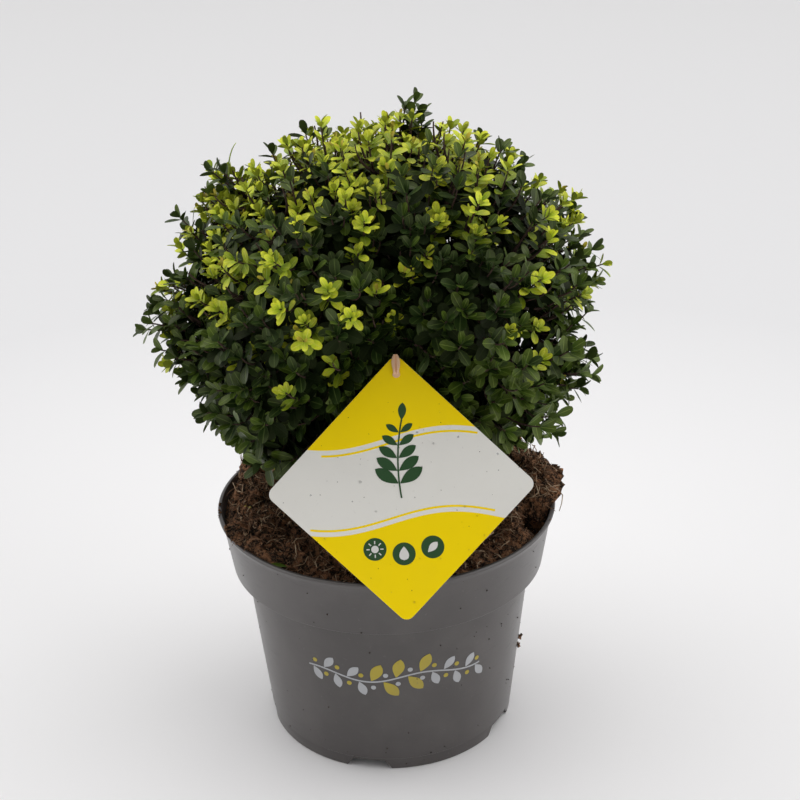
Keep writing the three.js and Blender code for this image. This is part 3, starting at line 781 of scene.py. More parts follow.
# %% Run a tree
def grown(base, name, group, **values):
    """Runs a geometry-node tree on a copy of an object and keeps the result as a plain mesh."""
    holder = bpy.data.objects.new(name, base.data.copy())
    bpy.context.scene.collection.objects.link(holder)
    modifier = holder.modifiers.new(group.name, "NODES")
    modifier.node_group = group
    for item in group.interface.items_tree:
        label = item.name.replace(" ", "_")
        if item.in_out == "INPUT" and label in values:
            modifier[item.identifier] = values[label]
    bpy.context.view_layer.update()
    evaluated = holder.evaluated_get(bpy.context.evaluated_depsgraph_get())
    holder_mesh = bpy.data.meshes.new_from_object(evaluated)
    holder.modifiers.clear()
    holder.data = holder_mesh
    holder_mesh.name = name
    return holder


# %% [markdown]
# The second tree needs grains to copy. Crumbs, clods and flakes are one uneven lump, round or flat.
# Fibres and roots are thin curly tubes. Ico spheres and bevelled curves could do for both, but arrays
# keep a grain to a few faces, which matters where there are thousands of copies.


# %% Grains
def lump_shape(squash):
    """Points and faces of an uneven lump about 1 mm across."""
    turn = np.arange(6) * np.pi / 3
    rings = [
        np.stack([np.cos(turn + s) * r, np.sin(turn + s) * r, turn * 0 + z], 1)
        for r, z, s in ((0.45, -0.2, 0), (0.4, 0.22, 0.5))
    ]
    points = np.concatenate([*rings, [[0, 0, -0.45], [0.05, 0, 0.5]]]) * [1, squash, 0.8]
    points += 0.16 * np.sin(points[:, [1, 2, 0]] * 9 + 1)
    j, k = np.arange(6), (np.arange(6) + 1) % 6
    faces = np.concatenate([
        np.stack([12 + 0 * j, k, j], 1),
        np.stack([j, k, 6 + k], 1),
        np.stack([j, 6 + k, 6 + j], 1),
        np.stack([13 + 0 * j, 6 + j, 6 + k], 1),
    ])
    return points, faces


def grain_lump(name, squash):
    return mesh_piece(name, *lump_shape(squash), CRUMB, flat=True)


def grain_fibre(name, length, radius, bend):
    """A curly fibre lying along X."""
    t = np.linspace(-0.5, 0.5, 7)
    path = np.stack([t * length, bend * np.cos(t * 5), 0.5 * bend * np.sin(t * 8)], 1)
    points, faces = tubes(path[None], radius * (1.1 - np.abs(t))[None], 3)
    return mesh_piece(name, points, faces, STRAW)


# %% [markdown]
# Now the root ball is roughened and the grains are strewn over it. Each kind has a row of its own in one
# list, with its grain, density, sizes, tilt, finish and seed, so that all of them can be compared and
# changed in one place.

# %% Compost surface
roughen, strew = roughen_group(), strew_group()
compost_base = mesh_piece("compost base", *compost_mesh(), COMPOST)
compost = grown(
    compost_base, "compost", roughen,
    Clods=0.025, Clod_Scale=62.0, Grain=0.008, Grain_Scale=300.0, Material=COMPOST,
)
compost.data.shade_smooth()
print("compost faces:", len(compost.data.polygons))
ride(compost, "compost", "compost")
lump, flake = grain_lump("lump", 0.8), grain_lump("flake", 0.4)
fibre, root = grain_fibre("fibre", 13, 0.4, 1.6), grain_fibre("root", 18, 0.36, 3.5)


def strew_over(base, slot, name, *looks):
    """Scatters copies of a grain over a surface, with looks in the order of GRAIN_LOOKS."""
    made = grown(base, name, strew, **dict(zip(GRAIN_LOOKS, looks)))
    ride(made, slot)
    print(name, len(made.data.polygons))


# Density is a square metre's, Tilt is in radians, Upwards is how level a face has to be, and Within is the
# distance in metres from the plant's axis
GRAIN_LOOKS = ("Grain", "Density", "Smallest", "Largest", "Tilt", "Upwards", "Material", "Seed", "Within")
ANYWHERE = 10.0
STREWN = [
    ("crumbs", lump, 52000.0, 1.2, 3.4, 3.14, 0.25, CRUMB, 1, 0.122),
    ("clods", lump, 12000.0, 3.5, 7.5, 3.14, 0.25, CRUMB, 5, 0.118),
    ("flakes", flake, 22000.0, 1.5, 4.5, 0.9, 0.4, COMPOST, 2, 0.12),
    ("root_fibres", root, 24000.0, 0.45, 1.2, 0.7, 0.5, ROOT, 3, 0.115),
    ("straw_fibres", fibre, 19000.0, 0.45, 1.3, 0.6, 0.5, STRAW, 4, 0.116),
    ("chips", flake, 260.0, 6.0, 10.0, 0.6, 0.6, STRAW, 6, 0.115),
    ("long_roots", root, 2600.0, 0.9, 1.6, 0.4, 0.5, STRAW, 7, 0.105),
]
for strewn in STREWN:
    strew_over(compost, "compost", *strewn)
for spare in (compost_base, lump, flake, fibre, root):
    bpy.data.objects.remove(spare)

# %% [markdown]
# Clumps of compost cling to the pot's lip and wall. The tree strews by chance, but these have places of
# their own, so they are listed. Each is a few turned lumps that run into one another.

# %% Clumps
# Each clump as (azimuth, radius, height, size)
CLUMPS = [
    (189, 129, 185.5, 4), (184, 128.5, 185.5, 2.5), (-9, 104, 64, 5.5), (-12, 104, 60, 3.5),
]
LUMPS_EACH = 6
clump_rng = np.random.default_rng(3)
clump_lumps = []
for azimuth, radius, height, size in CLUMPS:
    middle = facing(azimuth, 0) * radius + [0, 0, height]
    for _ in range(LUMPS_EACH):
        points, faces = lump_shape(0.8)
        turn = Matrix.Rotation(clump_rng.random() * math.tau, 3, Vector(clump_rng.random(3) - 0.5))
        points = points @ np.array(turn).T * size * (0.4 + 0.5 * clump_rng.random())
        clump_lumps.append((points + middle + size * 0.6 * (clump_rng.random(3) - 0.5), faces))
ride(mesh_piece("clumps", *joined(clump_lumps), CRUMB, flat=True), "compost")
print("clumps:", len(CLUMPS), "of lumps:", len(clump_lumps))

# %% [markdown]
# ## The card
#
# The card is a thin stiff plate that stands on its corner and leans back over the lip on its stake. It
# could be built where it stands, with every point tilted. Its frame is a matrix instead, so the plate,
# its slot and its print are all drawn flat and then set in place together.

# %% Card
card_normal = Vector((0, -math.cos(CARD_LEAN), math.sin(CARD_LEAN)))
card_centre = Vector((CARD_X, -(LIP_RADIUS + 0.9) + (CARD_Z - POT_HEIGHT) * math.tan(CARD_LEAN), CARD_Z))
card_right = Vector((1, 0, 0))
card_up = card_normal.cross(card_right)
basis = Matrix((card_right, card_up, card_normal)).transposed().to_4x4()
card_frame = Matrix.Translation(card_centre) @ basis @ Matrix.Rotation(CARD_TURN, 4, "Z")
to_card = np.array(card_frame.inverted())
from_card = np.array(card_frame)
HALF_DIAGONAL = CARD_SIDE * math.sqrt(2) / 2
SLOT_UP = HALF_DIAGONAL - SLOT_FROM_TOP
FACE = CARD_THICKNESS / 2


def placed_on_card(points):
    return np.asarray(points, float) @ from_card[:3, :3].T + from_card[:3, 3]


def to_card_space(points):
    return points @ to_card[:3, :3].T + to_card[:3, 3]


def rounded_square(side, radius, steps=7):
    """The card's outline standing on its corner, anticlockwise."""
    half = (side / 2 - radius) * math.sqrt(2)
    points = []
    for start in (0, 90, 180, 270):
        cx, cy = half * math.cos(math.radians(start)), half * math.sin(math.radians(start))
        points += arc(cx, cy, radius, start - 45, start + 45, steps)
    return points


def slab(name, outline, low, high, material):
    """A flat shape with straight sides, given by its outline and its two heights over the card."""
    n = len(outline)
    points = [[x, y, low] for x, y in outline] + [[x, y, high] for x, y in outline]
    sides = [[i, (i + 1) % n, n + (i + 1) % n, n + i] for i in range(n)]
    faces = [list(range(n))[::-1], list(range(n, 2 * n)), *sides]
    return mesh_piece(name, points, faces, material, flat=True)


def on_card(obj, *replaced):
    obj.data.transform(Matrix.Scale(MM, 4) @ card_frame @ Matrix.Scale(1 / MM, 4))
    return ride(obj, "printed_card", *replaced)


card = slab("card", rounded_square(CARD_SIDE, CARD_CORNER), -FACE, FACE, CARD)
slot_outline = [[x, SLOT_UP + y] for x, y in ((-2.7, -1.9), (2.7, -1.9), (2.7, 1.9), (-2.7, 1.9))]
cut(card, slab("tool", slot_outline, -3, 3, CARD))
on_card(card, "label_card")
print("card faces:", len(card.data.polygons))

# %% [markdown]
# Ink lies on card and pot as thin flat layers. A picture of it would blur close to, and a few bold shapes
# don't need one, so they are meshes about a tenth of a millimetre thick. Nearly all of them are ribbons,
# closed strips between a left and a right edge. They lie flat on the card, and bent round the pot's wall
# they make the garland on its front.


# %% Print shapes
def ribbon(left, right, low, high):
    """Points (x, y, height) and faces of a thin closed strip between two edges."""
    left, right = np.asarray(left, float), np.asarray(right, float)
    n = len(left)
    flat = np.concatenate([left, right, left, right])
    heights = np.repeat([low, low, high, high], n)
    faces = []
    for i in range(n - 1):
        a, b, c, d = i, n + i, 2 * n + i, 3 * n + i
        faces += [[c, d, d + 1, c + 1], [a, a + 1, b + 1, b], [a + 1, a, c, c + 1], [b, b + 1, d + 1, d]]
    faces += [[0, n, 3 * n, 2 * n], [2 * n - 1, n - 1, 3 * n - 1, 4 * n - 1]]
    return np.column_stack([flat, heights]), faces


def leaf_shape(x, y, length, width, turn, steps=11):
    """Edges of a rounded leaf that starts at a point and runs off at an angle in degrees."""
    t = np.linspace(0, 1, steps)
    half = np.maximum(width / 2 * np.sin(np.pi * t**1.2) ** 0.75, 0.08)
    a = math.radians(turn)
    along, aside = np.array([math.cos(a), math.sin(a)]), np.array([-math.sin(a), math.cos(a)])
    middle = np.array([x, y]) + along * (t * length)[:, None]
    return middle + aside * half[:, None], middle - aside * half[:, None]


def drop_shape(x, y, width, height, steps=15):
    """Edges of a drop that stands on its round end."""
    t = np.linspace(0, 1, steps)
    half = np.maximum(1.3 * width * np.sqrt(t) * (1 - t) ** 0.95, 0.05)
    return np.column_stack([x - half, y + t * height]), np.column_stack([x + half, y + t * height])


def disc_shape(x, y, radius, steps=17):
    t = np.linspace(-1, 1, steps)
    s = np.sin(t * np.pi / 2)
    half = np.maximum(np.sqrt(1 - s * s), 0.03) * radius
    return np.column_stack([x + s * radius, y + half]), np.column_stack([x + s * radius, y - half])


def line_shape(points, width):
    points = np.asarray(points, float)
    along = unit(np.gradient(points, axis=0))
    aside = np.column_stack([-along[:, 1], along[:, 0]]) * width / 2
    return points + aside, points - aside


def printed(name, shapes, low, material, place, slot):
    """One piece of print from a list of shapes, laid on a surface by a placing function."""
    points, faces = joined(ribbon(left, right, low, low + PRINT) for left, right in shapes)
    return ride(outwards(mesh_piece(name, place(points), faces, material, flat=True)), slot)


# %% [markdown]
# The print is a plain care card's: two yellow fields, a sprig and three round symbols. The fields could
# be ribbons too, but they end at the card's edge and rounded corners, so they are cut out of the card's
# own outline along a wave. The inks lie in layers, as they are printed: yellow, then green, then white.

# %% Card print
def wave(x, level):
    return level + 7 * math.sin(x / 26 + 0.3)


LOW_WAVE, HIGH_WAVE = -24, 36
for name, level, far in (("print_low_wave", LOW_WAVE, -100), ("print_high_wave", HIGH_WAVE, 100)):
    outline = [[x, wave(x, level)] for x in np.linspace(95, -95, 60)] + [[-95, far], [95, far]]
    inked = slab(name, rounded_square(CARD_SIDE - 0.1, CARD_CORNER), FACE, FACE + PRINT, YELLOW)
    on_card(outwards(cut(inked, outwards(slab("tool", outline, -2, 2, YELLOW)), "INTERSECT")))
swooshes = [
    line_shape([[x, wave(x, level)] for x in np.linspace(-half, half, 40)], 1.4)
    for level, half in ((LOW_WAVE + 4, 64), (HIGH_WAVE - 4, 54))
]
printed("print_lines", swooshes, FACE, YELLOW, placed_on_card, "printed_card")

SYMBOLS = [(-20, -41), (0, -45), (20, -41)]
stem = line_shape([[0.04 * t * t - 0.5 * t, -6 + 3.4 * t] for t in np.linspace(0, 16, 12)], 1.1)
green = [stem]
for i in range(5):
    t = 3 + 2.6 * i
    x, y = 0.04 * t * t - 0.5 * t, -6 + 3.4 * t
    size = 19 - 2.2 * i
    green += [leaf_shape(x + 0.6, y, size, size * 0.44, 34), leaf_shape(x - 0.6, y, size, size * 0.44, 146)]
green.append(leaf_shape(2.2, 48, 12, 5.6, 84))
green += [disc_shape(x, y, 8) for x, y in SYMBOLS]
printed("print_green", green, FACE + PRINT, GREEN, placed_on_card, "printed_card")

(sun_x, sun_y), (drop_x, drop_y), (blade_x, blade_y) = SYMBOLS
white = [disc_shape(sun_x, sun_y, 2.6), drop_shape(drop_x, drop_y - 4.4, 6.6, 9.6)]
white.append(leaf_shape(blade_x - 3.4, blade_y - 3.4, 9.6, 5, 45))
for i in range(8):
    a = i * math.pi / 4
    ray = [[sun_x + r * math.cos(a), sun_y + r * math.sin(a)] for r in (3.7, 4.8, 5.9)]
    white.append(line_shape(ray, 0.8))
printed("print_white", white, FACE + 2 * PRINT, WHITE, placed_on_card, "printed_card")
print("shapes printed on the card:", len(swooshes) + len(green) + len(white))

# %% [markdown]
# The garland on the pot is a wavy stem with leaves above and below it by turns, pale at both ends and
# yellow in the middle. Across from each leaf is a round berry in the other colour. A Shrinkwrap could
# press it on the wall, but the body is an even taper, so a formula wraps it round exactly.

# %% Pot print
GARLAND_Z = 90
GARLAND_X = 4.5
GARLAND_HALF = 68
GARLAND_WAVE = 3.5
GARLAND_BEND = 13
GARLAND_LEAVES = 15


def placed_on_pot(points):
    """Wraps flat points round the pot's wall: x runs round it and y climbs it."""
    x, y, out = np.asarray(points).T
    z = GARLAND_Z + y
    climbed = (z - BODY_FOOT) / (BAND_FOOT - 5 - BODY_FOOT)
    wall = BASE_RADIUS + 0.9 + (BODY_TOP_RADIUS - 0.6 - BASE_RADIUS - 0.9) * climbed
    turn = -np.pi / 2 + (GARLAND_X + x) / wall
    return np.column_stack([(wall + out) * np.cos(turn), (wall + out) * np.sin(turn), z])


def garland(x):
    return GARLAND_WAVE * np.sin(x / GARLAND_BEND)


garland_x = np.linspace(-GARLAND_HALF, GARLAND_HALF, 80)
pale, bright = [line_shape(np.column_stack([garland_x, garland(garland_x)]), 1.3)], []
for i, x in enumerate(np.linspace(-GARLAND_HALF + 4, GARLAND_HALF - 4, GARLAND_LEAVES)):
    slope = math.degrees(math.atan(GARLAND_WAVE / GARLAND_BEND * math.cos(x / GARLAND_BEND)))
    middle = abs(x) < 22
    size = 17 if middle else 13
    turn = slope + (62 if i % 2 else -62)
    lift = 1.0 if i % 2 else -1.0
    (bright if middle else pale).append(leaf_shape(x, garland(x) + lift, size, size * 0.52, turn))
    berry_y = garland(x) - 5.2 * lift
    (pale if middle else bright).append(disc_shape(x + 1.5, berry_y, 1.9, 13))
printed("pot_print_white", pale, 0.05, POT_WHITE, placed_on_pot, "pot_plastic")
printed("pot_print_yellow", bright, 0.05, POT_YELLOW, placed_on_pot, "pot_plastic")
print("shapes printed on the pot:", len(pale) + len(bright))

# %% [markdown]
# The stake climbs behind the card out of the compost, steps through the slot, and ends in a rounded
# head with a groove in front. Boxes joined end to end could do for it, but the real one is moulded in one
# piece, so one outline is carried along its side view and then set in the card's frame.

# %% Stake
STAKE_WIDTH = 5
STAKE_THICKNESS = 1.8
STAKE_HEAD = 14
STAKE_FOOT_Y = -111
STAKE_FOOT_Z = 142


def stake_rows():
    """Rows of the stake as (height up the card, depth of its back, half width, thickness)."""
    _, foot_y, foot_z = to_card_space(np.array([CARD_X, STAKE_FOOT_Y, STAKE_FOOT_Z]))
    back = -FACE - 1.2 - STAKE_THICKNESS
    front = FACE + 0.7
    half = STAKE_WIDTH / 2
    rows = [(foot_y, foot_z, 0.6, 0.8)]
    low_y, low_z = foot_y + 8, foot_z + 0.4
    for t in (0, *np.linspace(0.1, 1, 8)):
        y = low_y + (SLOT_UP - 4 - low_y) * t
        rows.append((y, low_z + (back - low_z) * t, half, STAKE_THICKNESS))
    rows += [(SLOT_UP - 1.4, back + 0.8, 2.1, 1.6), (SLOT_UP - 0.2, (back + front) / 2, 1.9, 1.6)]
    rows += [(SLOT_UP + 0.8, front - 0.3, 2.0, 1.8), (SLOT_UP + 2.4, front, 2.1, 2.0)]
    for t in np.linspace(0.1, 1, 14):
        half = 2.9 * math.sqrt(math.sin(math.pi * (0.1 + 0.83 * t)))
        rows.append((SLOT_UP + 2.4 + (STAKE_HEAD - 2.4) * t, front, half, 2.3 - 0.9 * t))
    return rows


def stake_mesh():
    """Nine points round each row, with a shallow groove down the middle of the front."""
    left = [[-0.28, 1], [-0.7, 1], [-1, 0.75]]
    right = [[1, 0.75], [0.7, 1], [0.28, 1]]
    around = np.array([[-1, 0], [1, 0], *right, [0, 0.45], *left])
    points = []
    for y, back, half, thick in stake_rows():
        points += [[half * u, y, back + thick * v] for u, v in around]
    size, rows = len(around), len(points) // len(around)
    faces = [list(range(size))]
    for i in range(rows - 1):
        for j in range(size):
            k = (j + 1) % size
            faces.append([i * size + k, i * size + j, (i + 1) * size + j, (i + 1) * size + k])
    faces.append([(rows - 1) * size + j for j in range(size)][::-1])
    return placed_on_card(points), faces


stake = outwards(mesh_piece("stake", *stake_mesh(), TAN))
ride(sharpen(stake, 50), "stake_plastic", "label_stake")
collar_turn = np.linspace(0, 2 * math.pi, 24)[:-1]
collar_outline = [[2.6 * math.cos(a), SLOT_UP + 2.2 * math.sin(a)] for a in collar_turn]
collar = on_card(outwards(slab("stake_collar", collar_outline, FACE + 0.05, FACE + 1.3, TAN)))
print("stake faces:", len(stake.data.polygons))

# %% [markdown]
# Water drops and crumbs of compost lie on the card and the pot. Set by hand they would look placed, so
# the tree that strewed the crumbs over the compost strews these too, each kind with a density and a seed
# of its own.


# %% Drops and specks
def grain_drop(name):
    """A flattened dome, 1 mm in radius."""
    rings = [(1, 0), (0.92, 0.22), (0.55, 0.42)]
    return mesh_piece(name, *turned(rings, 12, 0, 0.5), WATER)


def water_material():
    material, tree, shader = new_material("water", 0.04)
    ripple = noise(tree, 300.0, 1.0)
    gloss = ranged(tree, ripple, 0.3, 0.7, 0.02, 0.08)
    feed(tree, shader, Roughness=gloss, IOR=1.33, Transmission_Weight=1.0)
    return material


WATER = water_material()
drop, speck = grain_drop("drop_grain"), grain_lump("speck_grain", 0.8)
ON_SURFACES = [
    (card, "printed_card", "card_drops", drop, 1700.0, 0.3, 0.95, 0.0, -0.1, WATER, 11, ANYWHERE),
    (card, "printed_card", "card_specks", speck, 3000.0, 0.3, 0.9, 3.14, -0.1, DIRT, 12, ANYWHERE),
    (pot, "compost", "pot_specks", speck, 1500.0, 0.4, 1.5, 3.14, -0.4, DIRT, 13, ANYWHERE),
    (pot, "pot_plastic", "pot_drops", drop, 500.0, 0.4, 1.2, 0.0, -0.1, WATER, 14, ANYWHERE),
    (pot, "compost", "lip_crumbs", speck, 6000.0, 0.6, 2.4, 3.14, 0.6, CRUMB, 15, ANYWHERE),
]
for strewn in ON_SURFACES:
    strew_over(*strewn)
for spare in (drop, speck):
    bpy.data.objects.remove(spare)

# %% [markdown]
# ## The crown
#
# The crown keeps the solids' own rule. Its outline is one formula: an uneven ball that the card presses
# in at the front. Masses share it out by the way they face. Boughs run from the trunk to each mass,
# main shoots fan out from there, and here they go on into finer twigs and leaves. Leaves could be
# scattered over a ball, but the gaps between them would show that nothing carries them, so each one
# grows on a twig that leads back to the trunk.


# %% Outline of the crown
SHEARED = [
    (131, 59, -22, 13), (149, 47, -15, 13), (161, 36, 18, 7), (171, 18, 9, 9), (12, 44, -26, 10),
    (62, 60, -14, 14), (-80, 22, -24, 15), (-98, 41, -18, 13), (-66, 40, -18, 12), (184, -9, 8, 10),
    (-9, -2, -8, 7), (180, 26, 17, 9), (190, -1, 13, 9), (205, -33, 8, 9), (24, 60, -8, 10),
    (-146, -43, -18, 9), (-32, -42, -22, 9), (193, -9, -10, 6), (141, 72, -8, 9), (166, 27, -8, 6),
    (193, -27, -7, 8), (17, 33, -9, 8),
]


def sheared(d):
    """Local dents and swellings as (azimuth, elevation, millimetres, width in degrees), by direction."""
    total = 0
    for azimuth, elevation, change, width in SHEARED:
        closeness = d @ facing(azimuth, elevation)
        total = total + change * np.exp((closeness - 1) / (1 - math.cos(math.radians(width))))
    return total


def reach(d):
    """How far the crown goes from its centre in each direction."""
    x, y, z = d[..., 0], d[..., 1], d[..., 2]
    ball = 1 / np.linalg.norm(d / HALF_SIZE, axis=-1)
    broad = 0.03 * np.sin(3.1 * x - 2.3 * z + 1.2) * np.cos(2.7 * y + 0.6)
    free = ball * (1 + broad + 0.022 * np.sin(6.3 * y + 4.1 * x + 2)) + sheared(d)
    normal = np.array(card_normal)
    towards = d @ normal
    to_plane = (np.array(card_centre) - CENTRE) @ normal / np.maximum(towards, 0.1)
    hit = to_card_space(CENTRE + d * to_plane[..., None])
    outside = np.abs(hit[..., 0]) + np.abs(hit[..., 1]) - HALF_DIAGONAL
    pressed = (1 - smooth(outside, 4, 60)) * (towards > 0.1)
    return free + (np.minimum(free, to_plane - 7) - free) * pressed


MASSES = {"top": facing(0, 90)}
for i, name in enumerate(["back_right", "back_left", "front_left", "front_right"]):
    MASSES[f"upper_{name}"] = facing(45 + 90 * i, 30)
for i, name in enumerate(["front", "right", "back_right", "back_left", "left"]):
    MASSES[f"lower_{name}"] = facing(-90 + 72 * i, -20)
mass_names = list(MASSES)
mass_facing = np.array([MASSES[name] for name in mass_names])
print("masses:", mass_names)

# Sprigs that stand free of the ball, as (azimuth, elevation, reach, how young)
SPRIGS = [
    (191, 0, 181, 0.1), (187, 9, 170, 0.9), (188, 5, 171, 0.4), (194, -9, 168, 0.2), (177, 34, 157, 0.8),
    (174, 40, 164, 0.7), (52, 74, 157, 0.0), (-4, 12, 168, 0.6), (-6, 8, 160, 0.1), (-15, -15, 166, 0.1),
    (-17, -19, 160, 0.0), (3, 29, 166, 0.9), (1, 24, 159, 0.6), (-24, -31, 161, 0.0), (183, -38, 158, 0.0),
    (80, 4, 168, 0.4), (118, 42, 164, 0.7),
]
SPRIG_TWIGS = [(0, 0, 1), (4, 3, 0.97), (-5, 2, 0.95), (2, -5, 0.95), (-3, -4, 0.9), (7, -1, 0.88)]
# Single young sprays among the dark leaves of the front, as (azimuth, elevation)
YOUNG_SPRAYS = [
    (-86, 17), (-99, 18), (-87, 9), (-110, 12), (-105, 25), (-122, 30), (-50, 45), (-65, 45), (-72, 36),
    (-11, 52), (-97, 47), (-117, 19), (-136, 28), (-43, 21), (-30, 34), (-20, 10), (60, 20), (100, 10),
]
GOLDEN = math.pi * (3 - math.sqrt(5))
UP = np.array([0.0, 0.0, 1.0])


def even_directions(count, jitter, low=SKIRT):
    """Directions spread evenly over the ball, above the skirt."""
    k = np.arange(count)
    z = 1 - 2 * (k + 0.5) / count
    level = np.sqrt(1 - z * z)
    d = np.stack([level * np.cos(k * GOLDEN), level * np.sin(k * GOLDEN), z], 1)
    d = unit(d + jitter * (rng.random(d.shape) - 0.5))
    return d[d[:, 2] > math.sin(math.radians(low))]


def on_ray(direction, share):
    return CENTRE + direction * (np.asarray(share) * reach(direction))[..., None]


# %% [markdown]
# The trunk and boughs follow the same knots as the solids. Bump could give their bark, but it leaves the
# outline smooth against the light, so the bark is real relief: long ridges that wind a little round each
# limb.

# %% Trunk and boughs
SOIL_LINE = PLATEAU + GAP
top_stem = on_ray(MASSES["top"], HOLLOW) - MASSES["top"] * 8
trunk_knots = [
    [0, 0, SOIL_LINE - 4],
    [-1.5, 1, SOIL_LINE + 21],
    [3, 5, SOIL_LINE + 86],
    top_stem - [0, 0, 30],
    top_stem,
]
trunk_path = smooth_path(trunk_knots, 20)


def bark_relief(amount, winding):
    """A function that says how far the bark stands out, by a limb's path and the turn round it."""
    def relief(paths, turn):
        height = paths[:, :, None, 2]
        ridges = np.sin(5 * turn + winding * height) + 0.6 * np.sin(9 * turn - 0.7 * winding * height + 1)
        knots = np.sin(0.21 * height + 2 * turn) * np.sin(0.34 * height + 1)
        return 1 + amount * (0.5 * ridges + knots)

    return relief


def trunk_radius(path):
    height = path[:, 2] - SOIL_LINE
    share = np.linspace(0, 1, len(path))
    flare = TRUNK_FLARE * (1 - smooth(height, -4, 22))
    return TRUNK_RADIUS + (TRUNK_TIP_RADIUS - TRUNK_RADIUS) * share + flare


limb_parts = [tubes(trunk_path[None], trunk_radius(trunk_path)[None], 28, bark_relief(0.06, 0.05))]
bough_ends = {"top": trunk_path[-1]}
for i, name in enumerate(mass_names[1:]):
    direction = MASSES[name]
    lower = name.startswith("lower")
    order = i - 4 if lower else i
    share = 0.2 + 0.035 * order if lower else 0.44 + 0.04 * order
    root = trunk_path[round(share * (len(trunk_path) - 1))]
    tip = on_ray(direction, HOLLOW) - direction * 8
    sideways = unit((tip - root) * [1, 1, 0])
    knee = root + sideways * 14 + [0, 0, 22 if lower else 26]
    path = smooth_path([root, knee, tip - direction * 12, tip], 10)
    radius = np.linspace(*BOUGH_RADII, len(path))
    limb_parts.append(tubes(path[None], radius[None], 16, bark_relief(0.07, 0.08)))
    bough_ends[name] = tip
limbs = mesh_piece("trunk_and_boughs", *joined(limb_parts), BARK)
ride(limbs, "bark", "trunk", *[f"bough_{name}" for name in mass_names[1:]])
print("limb faces:", len(limbs.data.polygons))

# %% [markdown]
# Main shoots run from each bough's end towards the surface. Each fine twig springs from the nearest
# main shoot of its own mass, leans up towards the light, and ends at the crown's outline or a little
# short of it, which gives the ball its soft, uneven surface. A rule that lets every twig fork could grow
# them outwards, but it wouldn't end where the shears did. So each twig is worked out from its tip: the
# tips are spread evenly over the ball, with fewer on its airy right, and a curve leads each one back to
# its shoot.


# %% Shoots and twigs
def part_way(paths, rows, share):
    """Points at shares of the length of some of the paths, and which way the paths run there."""
    last = paths.shape[1] - 1
    step = np.clip(share, 0, 1) * last
    low = np.minimum(np.floor(step).astype(int), last - 1)
    part = (step - low)[:, None]
    start, end = paths[rows, low], paths[rows, low + 1]
    return start * (1 - part) + end * part, unit(end - start)


def curve_points(roots, bends, ends, steps):
    """Curves from roots to ends, each drawn towards a bend."""
    t = np.linspace(0, 1, steps)[None, :, None]
    return (1 - t) ** 2 * roots[:, None] + 2 * t * (1 - t) * bends[:, None] + t**2 * ends[:, None]


def mass_of(directions):
    """The number of the mass that each direction falls in."""
    return np.argmax(directions @ mass_facing.T, 1)


sprig_shoots = np.array([facing(azimuth, elevation) for azimuth, elevation, _, _ in SPRIGS])
main_dirs = np.concatenate([even_directions(MAIN_SHOOTS, 0.08), sprig_shoots])
main_mass = mass_of(main_dirs)
main_roots = np.array([bough_ends[mass_names[m]] for m in main_mass])
main_ends = on_ray(main_dirs, SHOOT_REACH)
main_bends = CENTRE + unit(main_dirs + mass_facing[main_mass]) * 0.55 * reach(main_dirs)[:, None]
main_paths = curve_points(main_roots, main_bends, main_ends, SHOOT_STEPS)


def fine_twigs(directions, tips, lift, depth):
    """Paths of twigs that end at these tips: they leave the nearest main shoot and turn up to the light."""
    mass = mass_of(directions)
    near = directions @ main_dirs.T - 2.0 * (mass[:, None] != main_mass[None])
    parent = np.argmax(near, 1)
    share = depth + 0.12 * rng.random(len(directions))
    roots, _ = part_way(main_paths, parent, share / SHOOT_REACH)
    ends = CENTRE + directions * tips[:, None]
    rising = unit(directions + lift[:, None] * UP + 0.35 * (rng.random(directions.shape) - 0.5))
    bends = ends - rising * 0.5 * np.linalg.norm(ends - roots, axis=1, keepdims=True)
    return curve_points(roots, bends, ends, TWIG_STEPS)


def uneven(d):
    """Slow ups and downs of the crown's surface, from -1 to 1."""
    coarse = np.sin(9 * d[:, 0] + 4 * d[:, 2]) * np.sin(8 * d[:, 1] - 5 * d[:, 2] + 1)
    fine = np.sin(21 * d[:, 0] - 9 * d[:, 1]) * np.sin(19 * d[:, 2] + 8 * d[:, 1] + 2)
    return 0.6 * coarse + 0.4 * fine


def lifts(d):
    """How strongly twigs turn upwards: most on the sides, least under the crown."""
    return (0.35 + 0.75 * smooth(d[:, 2], -0.6, 0.1)) * (0.6 + 0.8 * rng.random(len(d)))


def thinned(d, share):
    """Directions that are left when the airy right side loses a share of them."""
    airy = smooth(d[:, 0], 0.45, 0.8)
    return d[rng.random(len(d)) > share * airy]


def airy_corner(d):
    """The lower right, where few leaves stand behind the outer ones."""
    return smooth(d[:, 0], 0.45, 0.8) * smooth(-d[:, 2], -0.05, 0.35)


outer_dirs = thinned(even_directions(OUTER_TWIGS, 0.11), 0.22)
ragged = 0.15 * rng.random(len(outer_dirs)) ** 0.7 + 0.045 * uneven(outer_dirs)
outer_tips = reach(outer_dirs) * (0.855 + ragged) - 7
outer_paths = fine_twigs(outer_dirs, outer_tips, lifts(outer_dirs), 0.52)
inner_dirs = thinned(even_directions(INNER_TWIGS, 0.12, -60), 0.55)
inner_tips = reach(inner_dirs) * (0.56 + 0.16 * rng.random(len(inner_dirs)))
inner_paths = fine_twigs(inner_dirs, inner_tips, lifts(inner_dirs), 0.4)
sprig_dirs, sprig_tips, sprig_youth = [], [], []
for azimuth, elevation, far, youth in SPRIGS:
    for turn, rise, share in SPRIG_TWIGS:
        sprig_dirs.append(facing(azimuth + turn, elevation + rise))
        sprig_tips.append(far * share - 6)
        sprig_youth.append(youth)
for azimuth, elevation in YOUNG_SPRAYS:
    sprig_dirs.append(facing(azimuth, elevation))
    sprig_tips.append(reach(sprig_dirs[-1]) - 5)
    sprig_youth.append(1.0)
sprig_dirs, sprig_tips, sprig_youth = np.array(sprig_dirs), np.array(sprig_tips), np.array(sprig_youth)
